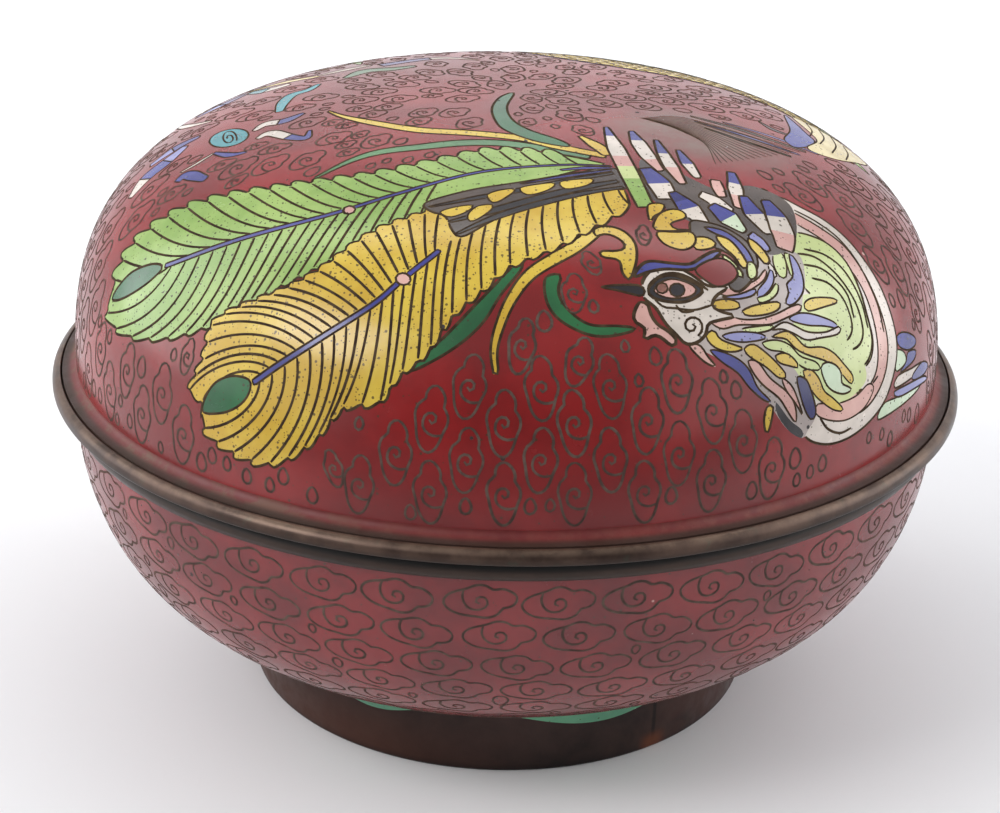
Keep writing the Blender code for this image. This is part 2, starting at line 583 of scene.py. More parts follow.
GREEN_SHAFT = [
    (165, 266), (240, 239), (335, 213), (400, 193), (480, 172), (560, 165), (612, 166),
]
GREEN_UPPER = [
    (112, 290), (131, 249), (168, 218), (215, 200), (291, 187), (375, 175), (455, 158), (500, 151),
    (600, 158),
]
GREEN_LOWER = [
    (108, 313), (125, 334), (172, 336), (222, 318), (258, 296), (312, 268), (343, 253), (393, 236),
    (424, 226), (440, 196), (520, 180), (600, 170),
]
GREEN_TIP = [(108, 306)]
GREEN_ROOT = [(606, 164)]
GREEN_EYE = [
    (112, 299), (118, 287), (132, 272), (152, 264), (163, 267), (150, 281), (133, 293), (119, 300),
]
GREEN_DOT = (349, 210)
GREEN_UPPER_LEANS = [(0.0, -25, 35), (0.15, -28, 28), (0.35, -18, 12), (1.0, -10, 8)]
GREEN_LOWER_LEANS = [(0.0, -22, 38), (0.2, -12, 18), (0.4, 0, 4), (1.0, 12, -6)]


def green_feather(picture):
    upper = Vane(
        GREEN_UPPER, barbs=24, on_edge=(0.02, 0.93), on_shaft=(0.02, 0.93),
        leans=GREEN_UPPER_LEANS, bulge=0.3,
    )
    lower = Vane(
        GREEN_LOWER, barbs=20, on_edge=(0.0, 0.62), on_shaft=(0.02, 0.62),
        leans=GREEN_LOWER_LEANS, bulge=0.25,
    )
    feather(picture, "green", GREEN_SHAFT, upper, lower, GREEN_TIP, GREEN_ROOT)
    picture.strip(["blue"], GREEN_SHAFT, (0.9, 0.9, 0.8, 0.7, 0.4), FINE)
    picture.area("deep_green", GREEN_EYE)
    picture.area("pink", oval(GREEN_DOT, 6.5, 4.3, -8))


GOLD_SHAFT = [
    (253, 383), (280, 364), (330, 332), (375, 303), (403, 279), (440, 250), (465, 230), (500, 213),
    (560, 197), (625, 182),
]
GOLD_UPPER = [
    (203, 400), (190, 388), (203, 365), (208, 345), (215, 322), (240, 308), (288, 289), (322, 270),
    (358, 243), (385, 228), (425, 214), (440, 206),
]
GOLD_LOWER = [
    (205, 428), (225, 446), (262, 462), (291, 455), (318, 434), (344, 404), (378, 402), (395, 376),
    (425, 352), (450, 315), (480, 290), (510, 264), (550, 248), (592, 226), (630, 205),
]
GOLD_TIP = [(202, 414), (200, 420)]
GOLD_ROOT = [(455, 214), (470, 214), (500, 204), (560, 190), (610, 184), (625, 190)]
GOLD_EYE = [
    (203, 412), (206, 396), (216, 382), (231, 376), (246, 378), (251, 384), (247, 397), (237, 407),
    (222, 413),
]
GOLD_DOT = (403, 279)
GOLD_UPPER_LEANS = [(0.0, 54, -46), (0.15, 37, -30), (0.35, 20, -26), (0.55, 10, -12), (1.0, -8, 6)]
GOLD_LOWER_LEANS = [
    (0.0, -48, 42), (0.1, -32, 28), (0.2, -18, 18), (0.35, -4, 9), (0.5, 4, 0), (0.65, 14, -8),
    (1.0, 24, -14),
]


def yellow_feather(picture):
    upper = Vane(
        GOLD_UPPER, barbs=21, on_edge=(0.0, 1.0), on_shaft=(0.03, 0.52),
        leans=GOLD_UPPER_LEANS, bulge=0.3,
    )
    lower = Vane(
        GOLD_LOWER, barbs=29, on_edge=(0.0, 1.0), on_shaft=(0.02, 0.98),
        leans=GOLD_LOWER_LEANS, bulge=0.32,
    )
    feather(picture, "yellow", GOLD_SHAFT, upper, lower, GOLD_TIP, GOLD_ROOT)
    picture.strip(["blue"], GOLD_SHAFT[:6], (1.0, 0.95, 0.9, 0.9), FINE)
    picture.area("deep_green", GOLD_EYE)
    picture.area("pink", oval(GOLD_DOT, 8, 6.3, 10))


# The dark part where the two tail feathers meet
DARK_HEART = [
    (425, 203), (470, 190), (520, 182), (580, 172), (614, 168), (628, 188), (600, 190), (560, 198),
    (520, 210), (490, 222), (462, 237), (452, 230), (445, 216), (432, 212),
]
HEART_CELLS = [
    [(487, 195), (500, 190), (516, 189), (508, 196), (494, 203)],
    [(520, 188), (540, 184), (556, 183), (548, 190), (528, 195)],
    [(560, 182), (580, 179), (594, 179), (588, 185), (566, 189)],
    [(440, 212), (455, 207), (474, 205), (466, 212), (450, 217)],
    [(478, 206), (494, 205), (486, 214), (470, 222), (468, 214)],
]
HEART_STREAKS = [
    ("black", [(428, 207), (470, 199), (520, 190), (570, 180), (614, 173)], (0.3, 1.0, 1.2, 1.0, 0.6)),
    ("black", [(448, 222), (480, 214), (520, 203), (570, 190), (618, 181)], (0.4, 1.4, 1.6, 1.4, 0.8)),
    ("black", [(456, 234), (490, 219), (530, 206), (580, 194), (624, 187)], (0.4, 1.2, 1.3, 1.0, 0.6)),
    ("navy", [(520, 184), (560, 177), (612, 170)], (0.3, 0.9, 0.6)),
]
HEART_BLUE = [(560, 170), (585, 168), (612, 168)]


def dark_heart(picture):
    picture.area("shade", DARK_HEART)
    for colour, line, breadths in HEART_STREAKS:
        picture.strip([colour], line, breadths, FINE)
    for cell in HEART_CELLS:
        picture.area("yellow", cell, FINE)
    picture.strip(["blue"], HEART_BLUE, (0.5, 0.9, 0.5), FINE)


# Thin leaves and tendrils
LONG_LEAF = [
    (385, 378), (430, 350), (480, 300), (517, 263), (522, 268), (500, 296), (485, 320), (465, 340),
    (440, 357), (412, 371),
]
LOWER_TENDRIL = [(596, 231), (575, 247), (533, 272), (512, 298), (500, 325), (494, 350), (496, 374)]
UPPER_TENDRIL = [
    (328, 111), (345, 117), (380, 124), (420, 130), (470, 133), (520, 138), (555, 146), (575, 150),
    (606, 156),
]
UPPER_HOOK = [(580, 136), (592, 143), (600, 148), (609, 155)]
GREEN_TENDRIL = [
    (315, 178), (350, 161), (380, 152), (420, 147), (460, 143), (500, 143), (540, 148), (590, 157),
]
COMMA_LEAF = [
    (514, 93), (500, 97), (492, 108), (495, 120), (505, 130), (535, 141), (570, 147), (560, 140),
    (530, 130), (513, 120), (507, 107),
]
ARC_LEAF = [
    (546, 277), (545, 295), (552, 312), (567, 325), (590, 335), (612, 336), (637, 329), (620, 326),
    (592, 325), (575, 316), (562, 302), (558, 289), (561, 275),
]


def upper_tendrils(picture):
    picture.strip(["dull_green"], GREEN_TENDRIL, (0.5, 1.9, 2.4, 2.4, 1.6))
    picture.strip(["yellow"], UPPER_TENDRIL, (0.5, 1.9, 2.3, 2.3, 2.2, 1.8))
    picture.strip(["yellow"], UPPER_HOOK, (0.8, 2.4, 2.2))
    picture.area("deep_green", COMMA_LEAF)
    picture.area("deep_green", ARC_LEAF)


def lower_leaves(picture):
    picture.area("deep_green", LONG_LEAF)
    picture.strip(["yellow"], LOWER_TENDRIL, (2.0, 2.2, 2.0, 1.6, 1.3, 0.8))


# The wing: each feather is a line from its tip, its breadths, and its colours from the tip
WING = [
    (
        ((606, 127), (616, 148), (630, 175), (646, 207)),
        (0.8, 3.0, 3.2, 2.8),
        ("blue", "white", "white", "pink", "pale_green", "green", "green"),
    ),
    (
        ((631, 131), (642, 148), (651, 160), (661, 171)),
        (0.9, 2.7, 2.8, 1.3),
        ("blue", "white", "white", "pink"),
    ),
    (((656, 140), (663, 153), (672, 168), (683, 184)), (0.8, 2.1, 2.6, 1.4), ("blue", "white", "pink")),
    (((678, 150), (687, 163), (698, 178)), (0.8, 2.3, 1.4), ("blue", "white")),
    (((645, 168), (658, 182), (668, 199)), (2.2, 4.2, 3.4), ("blue", "white")),
    (((715, 180), (718, 188), (722, 197)), (1.8, 2.2, 1.6), ("pink",)),
    (((731, 172), (735, 186), (738, 208)), (1.4, 2.8, 1.3), ("blue", "white", "pink")),
    (((672, 192), (688, 207), (706, 226)), (1.6, 4.2, 2.0), ("navy", "blue", "white", "white")),
    (((700, 194), (713, 200), (733, 211)), (1.9, 3.0, 1.0), ("white",)),
    (((711, 205), (726, 216), (745, 232)), (2.0, 4.4, 1.3), ("blue", "white_green")),
    (((743, 196), (753, 212), (769, 234)), (1.6, 4.0, 1.6), ("blue", "white")),
    (((750, 234), (760, 242), (769, 251)), (1.8, 2.2, 1.2), ("lavender",)),
    (((765, 200), (776, 216), (783, 234), (785, 250)), (1.8, 4.0, 4.6, 3.0), ("blue", "white", "pink")),
]
WING_SHADOW = [
    (640, 160), (665, 165), (690, 178), (720, 190), (752, 186), (790, 205), (796, 240), (780, 254),
    (760, 252), (735, 235), (700, 226), (660, 205), (646, 190),
]


def wing(picture):
    picture.area("shade", WING_SHADOW, 0)
    for line, breadths, colours in WING:
        picture.strip(colours, line, breadths, parted=False)


# The breast plume, from its outline inward
PLUME = [
    (756, 190), (780, 197), (800, 207), (824, 220), (845, 237), (862, 257), (877, 280), (888, 305),
    (895, 330), (897, 352), (893, 377), (884, 402), (869, 422), (850, 437), (830, 444), (813, 442),
    (803, 434), (797, 424), (785, 408), (775, 397), (760, 385), (745, 368), (722, 355), (700, 342),
    (690, 320), (700, 280), (730, 285), (760, 262), (770, 236),
]
PLUME_PINK = [
    (778, 206), (800, 216), (825, 231), (845, 247), (862, 270), (875, 296), (884, 322), (888, 347),
    (885, 374), (875, 397), (862, 411), (846, 417), (834, 411), (843, 404), (841, 395), (852, 393),
    (868, 386), (876, 372), (878, 350), (874, 322), (864, 292), (848, 266), (828, 244), (800, 226),
    (785, 218),
]
PLUME_GREEN = [
    (794, 234), (812, 236), (832, 247), (848, 265), (860, 290), (868, 318), (873, 340), (871, 358),
    (862, 369), (848, 370), (840, 380), (846, 388), (838, 396), (824, 388), (812, 366), (800, 352),
    (815, 342), (832, 338), (838, 322), (832, 304), (808, 292), (798, 270), (792, 252),
]
PLUME_LINES = [
    [(790, 208), (815, 221), (838, 238), (856, 260), (868, 282), (878, 306), (884, 332)],
    [
        (785, 232), (805, 234), (828, 244), (846, 262), (858, 286), (866, 312), (872, 340), (868, 360),
        (857, 369), (846, 367),
    ],
    [
        (790, 253), (812, 256), (830, 268), (845, 285), (857, 306), (863, 330), (860, 344), (850, 350),
        (842, 346),
    ],
    [(804, 249), (823, 254), (840, 266), (853, 284), (862, 304), (868, 328)],
    [(812, 278), (828, 283), (842, 297), (850, 315), (852, 331), (845, 342), (836, 340)],
    [(800, 264), (820, 268), (836, 280), (848, 296), (854, 318)],
    [(820, 418), (828, 429), (840, 433), (851, 428)],
    [(836, 384), (846, 392), (858, 393), (870, 386), (878, 376)],
]
PLUME_GROUND = [
    (742, 250), (770, 248), (798, 254), (805, 276), (803, 296), (800, 316), (786, 332), (782, 352),
    (798, 374), (806, 396), (816, 414), (808, 430), (802, 438), (786, 428), (768, 402), (745, 374),
    (715, 357), (694, 344), (702, 330), (704, 312), (716, 298), (742, 290),
]
PLUME_INNER = [
    (800, 296), (838, 296), (850, 320), (846, 340), (862, 360), (866, 380), (850, 398), (830, 404),
    (812, 396), (796, 372), (780, 350), (786, 330), (800, 316),
]
PLUME_INNER_PINK = [
    (818, 404), (836, 404), (856, 396), (868, 384), (874, 388), (864, 408), (846, 420), (828, 420),
    (816, 414),
]
PLUME_CELLS = [
    ("pale_green", (773, 256), (780, 252), (786, 262), (786, 278), (779, 276), (774, 266)),
    ("pale_green", (784, 253), (791, 256), (794, 268), (792, 278), (788, 268)),
    (
        "lavender", (789, 254), (797, 262), (803, 278), (803, 292), (794, 304), (785, 304), (789, 292),
        (786, 284), (793, 276),
    ),
    ("white", (768, 262), (774, 268), (777, 278), (771, 276)),
    ("lavender", (758, 290), (766, 280), (771, 268), (774, 280), (768, 292), (758, 298)),
    ("pale_green", (757, 298), (768, 294), (777, 282), (778, 292), (770, 300), (760, 303)),
    ("pink", (716, 291), (738, 287), (756, 280), (766, 268), (764, 280), (746, 292), (728, 296)),
    ("lavender", (722, 297), (740, 294), (756, 288), (754, 295), (738, 299)),
    ("yellow", (710, 303), (724, 299), (738, 302), (740, 308), (724, 310), (712, 308)),
    (
        "yellow", (742, 311), (752, 306), (766, 303), (780, 302), (779, 309), (768, 314), (752, 316),
        (743, 314),
    ),
    (
        "pink", (704, 314), (722, 313), (740, 319), (758, 319), (776, 314), (790, 307), (801, 304),
        (800, 311), (786, 318), (772, 324), (760, 325), (738, 325), (722, 329), (710, 322),
    ),
    ("pale_green", (742, 329), (752, 327), (774, 325), (768, 331), (748, 333)),
    ("yellow", (804, 304), (812, 298), (832, 298), (838, 302), (824, 307), (808, 311)),
    ("lavender", (789, 319), (800, 313), (816, 315), (834, 322), (838, 328), (824, 326), (806, 325)),
    (
        "white", (772, 330), (784, 322), (795, 326), (808, 332), (826, 332), (840, 326), (838, 334),
        (820, 338), (806, 340), (795, 334), (782, 329),
    ),
    (
        "yellow", (772, 337), (786, 331), (796, 337), (806, 347), (822, 347), (834, 353), (843, 363),
        (853, 376), (851, 384), (840, 372), (828, 362), (808, 355), (796, 349), (786, 339),
    ),
    (
        "pale_green", (762, 343), (776, 340), (790, 345), (800, 356), (816, 362), (820, 370),
        (804, 368), (794, 360), (784, 352), (770, 350),
    ),
    ("yellow", (775, 356), (786, 353), (796, 361), (799, 368), (790, 366), (780, 363)),
    (
        "yellow", (803, 371), (812, 370), (820, 380), (824, 391), (833, 398), (844, 410), (834, 410),
        (822, 402), (814, 394), (808, 384),
    ),
    (
        "navy", (797, 377), (806, 379), (811, 390), (815, 404), (816, 415), (811, 420), (805, 410),
        (800, 394),
    ),
    (
        "white_green", (821, 368), (828, 362), (838, 367), (842, 376), (841, 383), (852, 389),
        (842, 394), (828, 387),
    ),
    ("yellow", (706, 336), (714, 330), (720, 339), (735, 345), (744, 349), (730, 352), (714, 347)),
    ("lavender", (722, 336), (736, 332), (758, 333), (767, 338), (748, 342), (732, 341)),
    (
        "yellow", (744, 349), (753, 344), (764, 351), (776, 362), (787, 376), (779, 378), (766, 367),
        (750, 357),
    ),
    (
        "blue", (710, 350), (726, 353), (741, 361), (750, 371), (758, 388), (772, 402), (762, 399),
        (748, 386), (738, 373), (722, 362),
    ),
    (
        "pink", (748, 361), (758, 362), (770, 378), (786, 391), (795, 405), (796, 423), (788, 412),
        (779, 398), (764, 386), (754, 374),
    ),
    ("pink", (782, 378), (792, 386), (798, 400), (803, 416), (796, 404), (786, 390)),
    ("pink", (689, 345), (700, 345), (708, 357), (717, 367), (706, 363), (695, 353)),
]
BLUE_FEATHERS = [
    ("blue", (897, 336), (904, 332), (914, 336), (916, 344), (908, 350), (899, 346)),
    ("white_green", (897, 350), (904, 352), (906, 362), (896, 372), (896, 362)),
    ("blue", (908, 352), (916, 350), (914, 360), (904, 370), (900, 372), (906, 362)),
    ("white", (898, 376), (912, 368), (922, 362), (920, 370), (906, 382), (894, 388)),
    ("blue", (922, 362), (928, 364), (924, 374), (914, 380), (912, 376)),
    (
        "white_green", (886, 402), (900, 396), (916, 386), (922, 382), (914, 394), (898, 408),
        (878, 420), (880, 410),
    ),
    ("lavender", (894, 392), (908, 384), (924, 376), (926, 380), (912, 390), (898, 397)),
]


def breast_plume(picture):
    for colour, *points in BLUE_FEATHERS:
        picture.area(colour, points, FINE)
    picture.area("white", PLUME)
    picture.area("pink", PLUME_PINK)
    picture.area("pale_green", PLUME_GREEN)
    for line in PLUME_LINES:
        picture.line(line)
    picture.area("pale_green", PLUME_INNER, 0)
    picture.area("pink", PLUME_INNER_PINK, FINE)
    picture.area("grey", PLUME_GROUND, 0)
    for colour, *points in PLUME_CELLS:
        picture.area(colour, points, FINE)


# The neck and the head
NECK_BANDS = [
    (
        "shade", (690, 222), (706, 222), (728, 229), (748, 243), (758, 262), (752, 280), (738, 292),
        (728, 284), (738, 272), (734, 258), (716, 248), (696, 244),
    ),
    ("yellow", (694, 238), (706, 237), (716, 243), (712, 248), (700, 250), (694, 248)),
    ("yellow", (716, 236), (730, 240), (742, 252), (748, 266), (742, 268), (734, 256), (722, 246)),
    (
        "blue", (704, 227), (722, 230), (738, 240), (750, 254), (756, 270), (750, 268), (742, 254),
        (730, 240), (716, 234),
    ),
    ("yellow", (748, 238), (760, 246), (770, 260), (766, 265), (758, 256), (750, 247)),
    ("pale_green", (722, 254), (734, 262), (744, 276), (738, 276), (728, 266)),
    ("pale_green", (748, 262), (755, 264), (757, 276), (750, 280), (747, 272)),
]
SWIRL_BACK = [(648, 205), (664, 204), (662, 212), (654, 216), (650, 222)]
SWIRL_UPPER = [
    (656, 230), (656, 218), (664, 211), (676, 209), (685, 213), (686, 218), (676, 221), (670, 224),
    (676, 229), (692, 230),
]
SWIRL_LOWER = [
    (657, 232), (676, 232), (692, 232), (696, 240), (692, 247), (682, 250), (668, 246), (660, 240),
]
COMB = [
    (596, 236), (594, 229), (606, 226), (622, 230), (634, 241), (637, 255), (634, 270), (629, 280),
    (622, 272), (619, 260), (602, 257), (600, 251), (614, 251), (624, 249), (624, 243), (614, 236),
    (604, 234),
]
CREST = [
    (634, 277), (640, 266), (650, 261), (670, 263), (690, 264), (702, 257), (714, 251), (722, 252),
    (710, 261), (698, 267), (688, 270), (666, 269), (648, 272),
]
RED_GAP = [
    (695, 270), (705, 262), (718, 258), (730, 262), (738, 273), (732, 282), (718, 287), (705, 280),
]
HEAD = [
    (642, 293), (643, 280), (651, 271), (665, 268), (682, 270), (695, 277), (708, 286), (728, 287),
    (716, 296), (712, 306), (722, 312), (736, 316), (720, 320), (708, 324), (706, 334), (698, 342),
    (686, 344), (676, 334), (666, 324), (656, 308), (646, 300),
]
EYE_RING = [
    (648, 290), (654, 280), (669, 275), (686, 279), (703, 289), (698, 296), (684, 302), (664, 301),
    (652, 297),
]
EYE_WHITE = [(654, 291), (660, 283), (672, 279), (688, 283), (697, 290), (688, 297), (668, 298)]
PUPIL = (677, 290)
IRIS = (662, 288)
BROW = [(650, 286), (660, 276), (674, 273), (690, 278), (708, 290)]
CHEEK_LINES = [
    [(655, 300), (664, 307), (674, 308), (694, 310), (712, 305)],
    [(676, 305), (682, 312), (694, 311)],
]
CHEEK_SPIRAL = (692, 326)
BEAK = [(601, 287), (618, 285), (642, 286), (644, 296), (632, 294), (616, 290)]
WATTLE = [
    (640, 302), (648, 305), (651, 315), (658, 325), (668, 331), (677, 341), (672, 346), (662, 338),
    (654, 335), (644, 340), (645, 328), (635, 322), (634, 313),
]
CLAW = [(767, 407), (773, 406), (772, 418), (769, 430), (766, 434), (764, 420)]
DARK_HOOK = [(776, 402), (790, 420), (802, 430), (802, 438), (790, 432), (778, 416)]


def neck_and_head(picture):
    for colour, *points in NECK_BANDS:
        picture.area(colour, points)
    for points in (SWIRL_BACK, SWIRL_UPPER, SWIRL_LOWER, COMB):
        picture.area("yellow", points)
    picture.area("white", HEAD, BOLD)
    picture.area("blue", CREST, BOLD)
    picture.area("red", RED_GAP)
    picture.area("black", EYE_RING, BOLD)
    picture.area("pink", EYE_WHITE, FINE)
    picture.area("worn", oval(IRIS, 6, 5.5), FINE)
    picture.area("black", oval(PUPIL, 8, 7), FINE)
    picture.line(BROW, BOLD)
    for line in CHEEK_LINES:
        picture.line(line)
    picture.line(spiral(CHEEK_SPIRAL, start=11.5, end=2.0, turns=1.4, begin=60))
    picture.area("pink", WATTLE, BOLD)
    picture.area("black", BEAK)
    picture.area("yellow", CLAW)
    picture.area("black", DARK_HOOK, 0)


# Pieces of the second figure that the photograph shows at the top of the dome: strips and areas
TOP_STRIPS = [
    (["turquoise"], [(319, 84), (308, 90), (292, 95), (283, 103), (279, 112)], (1.0, 2.4, 2.4, 1.4)),
    (["white", "blue"], [(254, 131), (266, 124), (284, 121), (304, 113)], (1.0, 2.4, 2.4, 0.8)),
    (
        ["white", "blue"],
        [(257, 139), (270, 133), (290, 137), (306, 138), (310, 130)],
        (1.0, 2.4, 2.2, 1.6, 0.6),
    ),
    (["blue"], [(177, 182), (186, 175), (206, 179)], (1.6, 2.6, 1.6)),
    (["white"], [(180, 173), (196, 164), (214, 153)], (0.5, 0.9, 0.5)),
    (["blue"], [(214, 153), (230, 155), (247, 152)], (0.7, 1.6, 0.7)),
    (["white", "blue", "lavender"], [(130, 198), (146, 178), (166, 162), (186, 146)], (1.6, 4.6, 4.2, 1.6)),
    (["lavender", "blue"], [(150, 166), (176, 148), (200, 136)], (1.4, 3.0, 1.4)),
    (["lavender", "blue"], [(196, 118), (220, 106), (246, 94)], (1.6, 4.2, 2.0)),
    (["white"], [(172, 128), (190, 126), (212, 121)], (0.6, 1.8, 0.8)),
    (["turquoise", "white"], [(250, 93), (268, 90), (290, 84)], (1.6, 3.6, 2.0)),
    (["dull_green"], [(345, 78), (366, 71), (392, 69), (416, 66)], (1.2, 3.4, 3.0, 1.4)),
    (["cream"], [(250, 92), (282, 83), (320, 76)], (1.0, 3.0, 1.6)),
    (["white"], [(318, 76), (345, 70), (372, 65)], (1.0, 2.4, 1.0)),
    (["shade"], [(690, 116), (738, 129), (806, 152)], (0.5, 1.0, 0.7)),
    (["lavender"], [(694, 121), (744, 136), (800, 155)], (0.5, 1.0, 0.6)),
    (["shade"], [(704, 128), (750, 143), (792, 157)], (0.4, 0.8, 0.5)),
    (["lavender"], [(722, 122), (770, 136), (820, 155)], (0.4, 0.8, 0.5)),
    (["black"], [(758, 121), (774, 130), (792, 136)], (0.3, 1.4, 0.4)),
]
SPIRAL_CLOUD = (229, 138)
SCALED_END = [
    (792, 117), (812, 126), (834, 139), (852, 152), (867, 165), (856, 163), (838, 160), (816, 153),
    (807, 147), (817, 141), (807, 130),
]
SCALED_END_LINES = [
    [(806, 123), (812, 131), (810, 136)],
    [(818, 129), (824, 138), (820, 144)],
    [(830, 136), (836, 146), (832, 153)],
    [(843, 146), (848, 154), (846, 160)],
]
SCALED_END_BLUE = [
    (784, 115), (794, 122), (808, 135), (815, 142), (806, 147), (794, 147), (784, 139), (790, 130),
]
RUBBED_OUTLINE = [
    (612, 118), (650, 112), (690, 115), (740, 124), (790, 142), (806, 156), (760, 168), (722, 166),
    (700, 152), (660, 140), (625, 130),
]
RUBBED_LINES = 16
RUBBED_FIRST = np.array([(640, 118), (690, 119), (800, 152)])
RUBBED_LAST = np.array([(670, 126), (704, 143), (716, 164)])


def rubbed_lines(picture):
    """Fine strokes fanned out from the left end of the rubbed patch."""
    for k in range(RUBBED_LINES):
        share = k / (RUBBED_LINES - 1)
        picture.line(RUBBED_FIRST + (RUBBED_LAST - RUBBED_FIRST) * share, HAIR)


def figure_at_top(picture):
    for colours, points, breadths in TOP_STRIPS:
        picture.strip(colours, points, breadths, FINE)
    picture.area("blue", SCALED_END_BLUE, FINE)
    picture.area("cream", SCALED_END, FINE)
    for line in SCALED_END_LINES:
        picture.line(line, FINE)
    rubbed_lines(picture)
    picture.area("turquoise", oval(SPIRAL_CLOUD, 20, 8.5, -12), FINE)
    picture.line(spiral(SPIRAL_CLOUD, start=8, end=2, turns=1.6, begin=20), FINE)


# The dragon behind, on the plan in millimetres: right and back from the top of the dome
DRAGON_SPINE = [
    (60, -3), (56, 8), (50, 17), (42, 22.5), (30, 26), (20, 29), (9, 36), (5, 48), (8, 62), (2, 76),
    (-14, 84), (-31, 76), (-40, 62), (-42, 48),
]
DRAGON_BREADTHS = (1.5, 5, 7.5, 8.5, 9, 9.5, 10, 10, 9.5, 9, 8.5, 8, 7, 6.5)
SCALE_STEP = 2.1
SCALES_ACROSS = 3
SCALE_ARC = [(0, 0), (0.2, 0.75), (0.5, 1), (0.8, 0.75), (1, 0)]
SCALE_HIGH = 0.9
BELLY_EDGE = 0.16
FIN_STEP = 4.6
FIN_SPAN = (0.3, 1.3)
FIN_HIGH = 3.4
FIN_LEAN = 0.6
DRAGON_LEGS = [
    [(44, 24), (40, 33), (48, 40)],
    [(13, 34), (24, 42), (30, 36)],
    [(8, 64), (20, 66), (25, 75)],
    [(-30, 78), (-30, 92), (-40, 94)],
    [(-38, 66), (-50, 68), (-58, 60)],
]
CLAW_TURNS = (-50, -15, 20, 55)
CLAW_LONG = 5.5
CLAW_BEND = 0.4
LEG_BREADTHS = (5.5, 4.2, 3.0)
CLAW_BREADTHS = (1.7, 1.3, 0.4)
LOCK_BREADTHS = (3.4, 2.6, 0.5)
HORN_BREADTHS = (2.4, 2.0, 1.4, 0.4)
BROW_BREADTHS = (0.6, 1.8, 1.0)
WHISKER_BREADTHS = (1.2, 1.0, 0.7, 0.3)
FLAME_BREADTHS = (3.0, 2.6, 0.4)
DRAGON_HEAD = [
    (-47, 50), (-37, 51), (-33, 45), (-35, 38), (-40, 35), (-41, 28), (-46, 25), (-50, 28), (-49, 34),
    (-53, 38), (-52, 45),
]
DRAGON_MOUTH = [(-42, 33), (-43, 28), (-46, 27), (-48, 31), (-46, 36)]
DRAGON_EYES = [(-40, 43), (-48, 42)]
DRAGON_BROWS = [[(-35, 43), (-39, 46), (-43, 44)], [(-45, 44), (-49, 46), (-53, 42)]]
DRAGON_WHISKERS = [
    [(-40, 31), (-34, 27), (-29, 31), (-24, 29)],
    [(-49, 30), (-56, 27), (-60, 31), (-66, 28)],
]
DRAGON_NOSE = [(-41.5, 37), (-46.5, 36.5)]
DRAGON_HORNS = [
    [(-38, 50), (-33, 56), (-34, 64), (-29, 68)],
    [(-46, 50), (-50, 57), (-47, 64), (-51, 70)],
]
DRAGON_MANE = [
    [(-35, 47), (-27, 50), (-20, 47)],
    [(-34, 42), (-26, 41), (-21, 36)],
    [(-36, 38), (-30, 33), (-28, 26)],
    [(-52, 46), (-59, 49), (-64, 45)],
    [(-53, 40), (-60, 38), (-66, 32)],
]
PEARL = (30, 56)
FLAMES = [
    [(34, 58), (42, 62), (46, 71)],
    [(33, 53), (43, 52), (52, 58)],
    [(64, 24), (72, 30), (70, 40)],
    [(60, 34), (66, 44), (62, 54)],
    [(-14, 44), (-22, 52), (-18, 62)],
    [(-8, 50), (-14, 58), (-10, 66)],
    [(-66, 12), (-72, 22), (-70, 34)],
    [(-24, 22), (-14, 27), (-6, 24)],
    [(20, 86), (34, 84), (44, 76)],
    [(-56, 76), (-48, 84), (-50, 94)],
]
SPIRAL_CLOUDS = [(64, 66), (-66, 52), (30, 92), (-6, 97), (78, 14), (-80, 0)]


def dragon(picture):
    """The second figure, plain and traditional, where the photograph doesn't reach."""
    spine = smooth(DRAGON_SPINE, step=0.4)
    left, right = sides_of(spine, DRAGON_BREADTHS)
    for leg in DRAGON_LEGS:
        dragon_leg(picture, leg)
    length = lengths_along(spine)[-1]
    way = directions(spine)
    for fin in range(int(length / FIN_STEP) - 1):
        a, b = (round((fin + k) * FIN_STEP / length * (len(spine) - 1)) for k in FIN_SPAN)
        out = right[a] - spine[a]
        tip = right[a] + out / np.linalg.norm(out) * FIN_HIGH - way[a] * FIN_HIGH * FIN_LEAN
        picture.area("green", [right[a], tip, right[b], spine[b], spine[a]], FINE, curved=False)
    edge = left + (left - spine) * BELLY_EDGE
    picture.area("blue", np.concatenate([edge, right[::-1]]), FINE, curved=False)
    picture.area("yellow", np.concatenate([left, right[::-1]]), curved=False)
    dragon_scales(picture, left, right, length)
    dragon_head(picture)


def dragon_scales(picture, left, right, length):
    """Rows of small arcs across the body, staggered."""
    for row in range(2, int(length / SCALE_STEP) - 1):
        here, before = (round((row - k) * SCALE_STEP / length * (len(left) - 1)) for k in (0, SCALE_HIGH))
        for k in range(SCALES_ACROSS + row % 2):
            arc = []
            for end, depth in SCALE_ARC:
                share = min(1.0, max(0.0, (k + end - 0.5 * (row % 2)) / SCALES_ACROSS))
                near = left[here] + (right[here] - left[here]) * share
                far = left[before] + (right[before] - left[before]) * share
                arc.append(near + (far - near) * depth)
            picture.line(arc, FINE)


def dragon_leg(picture, line):
    """A leg that ends in spread claws."""
    end = np.array(line[-1], float)
    way = end - np.array(line[-2], float)
    way /= np.linalg.norm(way)
    for turn in CLAW_TURNS:
        reach = turned_by(way, turn)
        bend = turned_by(way, turn * CLAW_BEND)
        tip = end + reach * CLAW_LONG * 0.6 + bend * CLAW_LONG * 0.5
        claw = [end, end + reach * CLAW_LONG * 0.5, tip]
        picture.strip(["yellow", "white"], claw, CLAW_BREADTHS, FINE)
    picture.strip(["yellow"], line, LEG_BREADTHS)


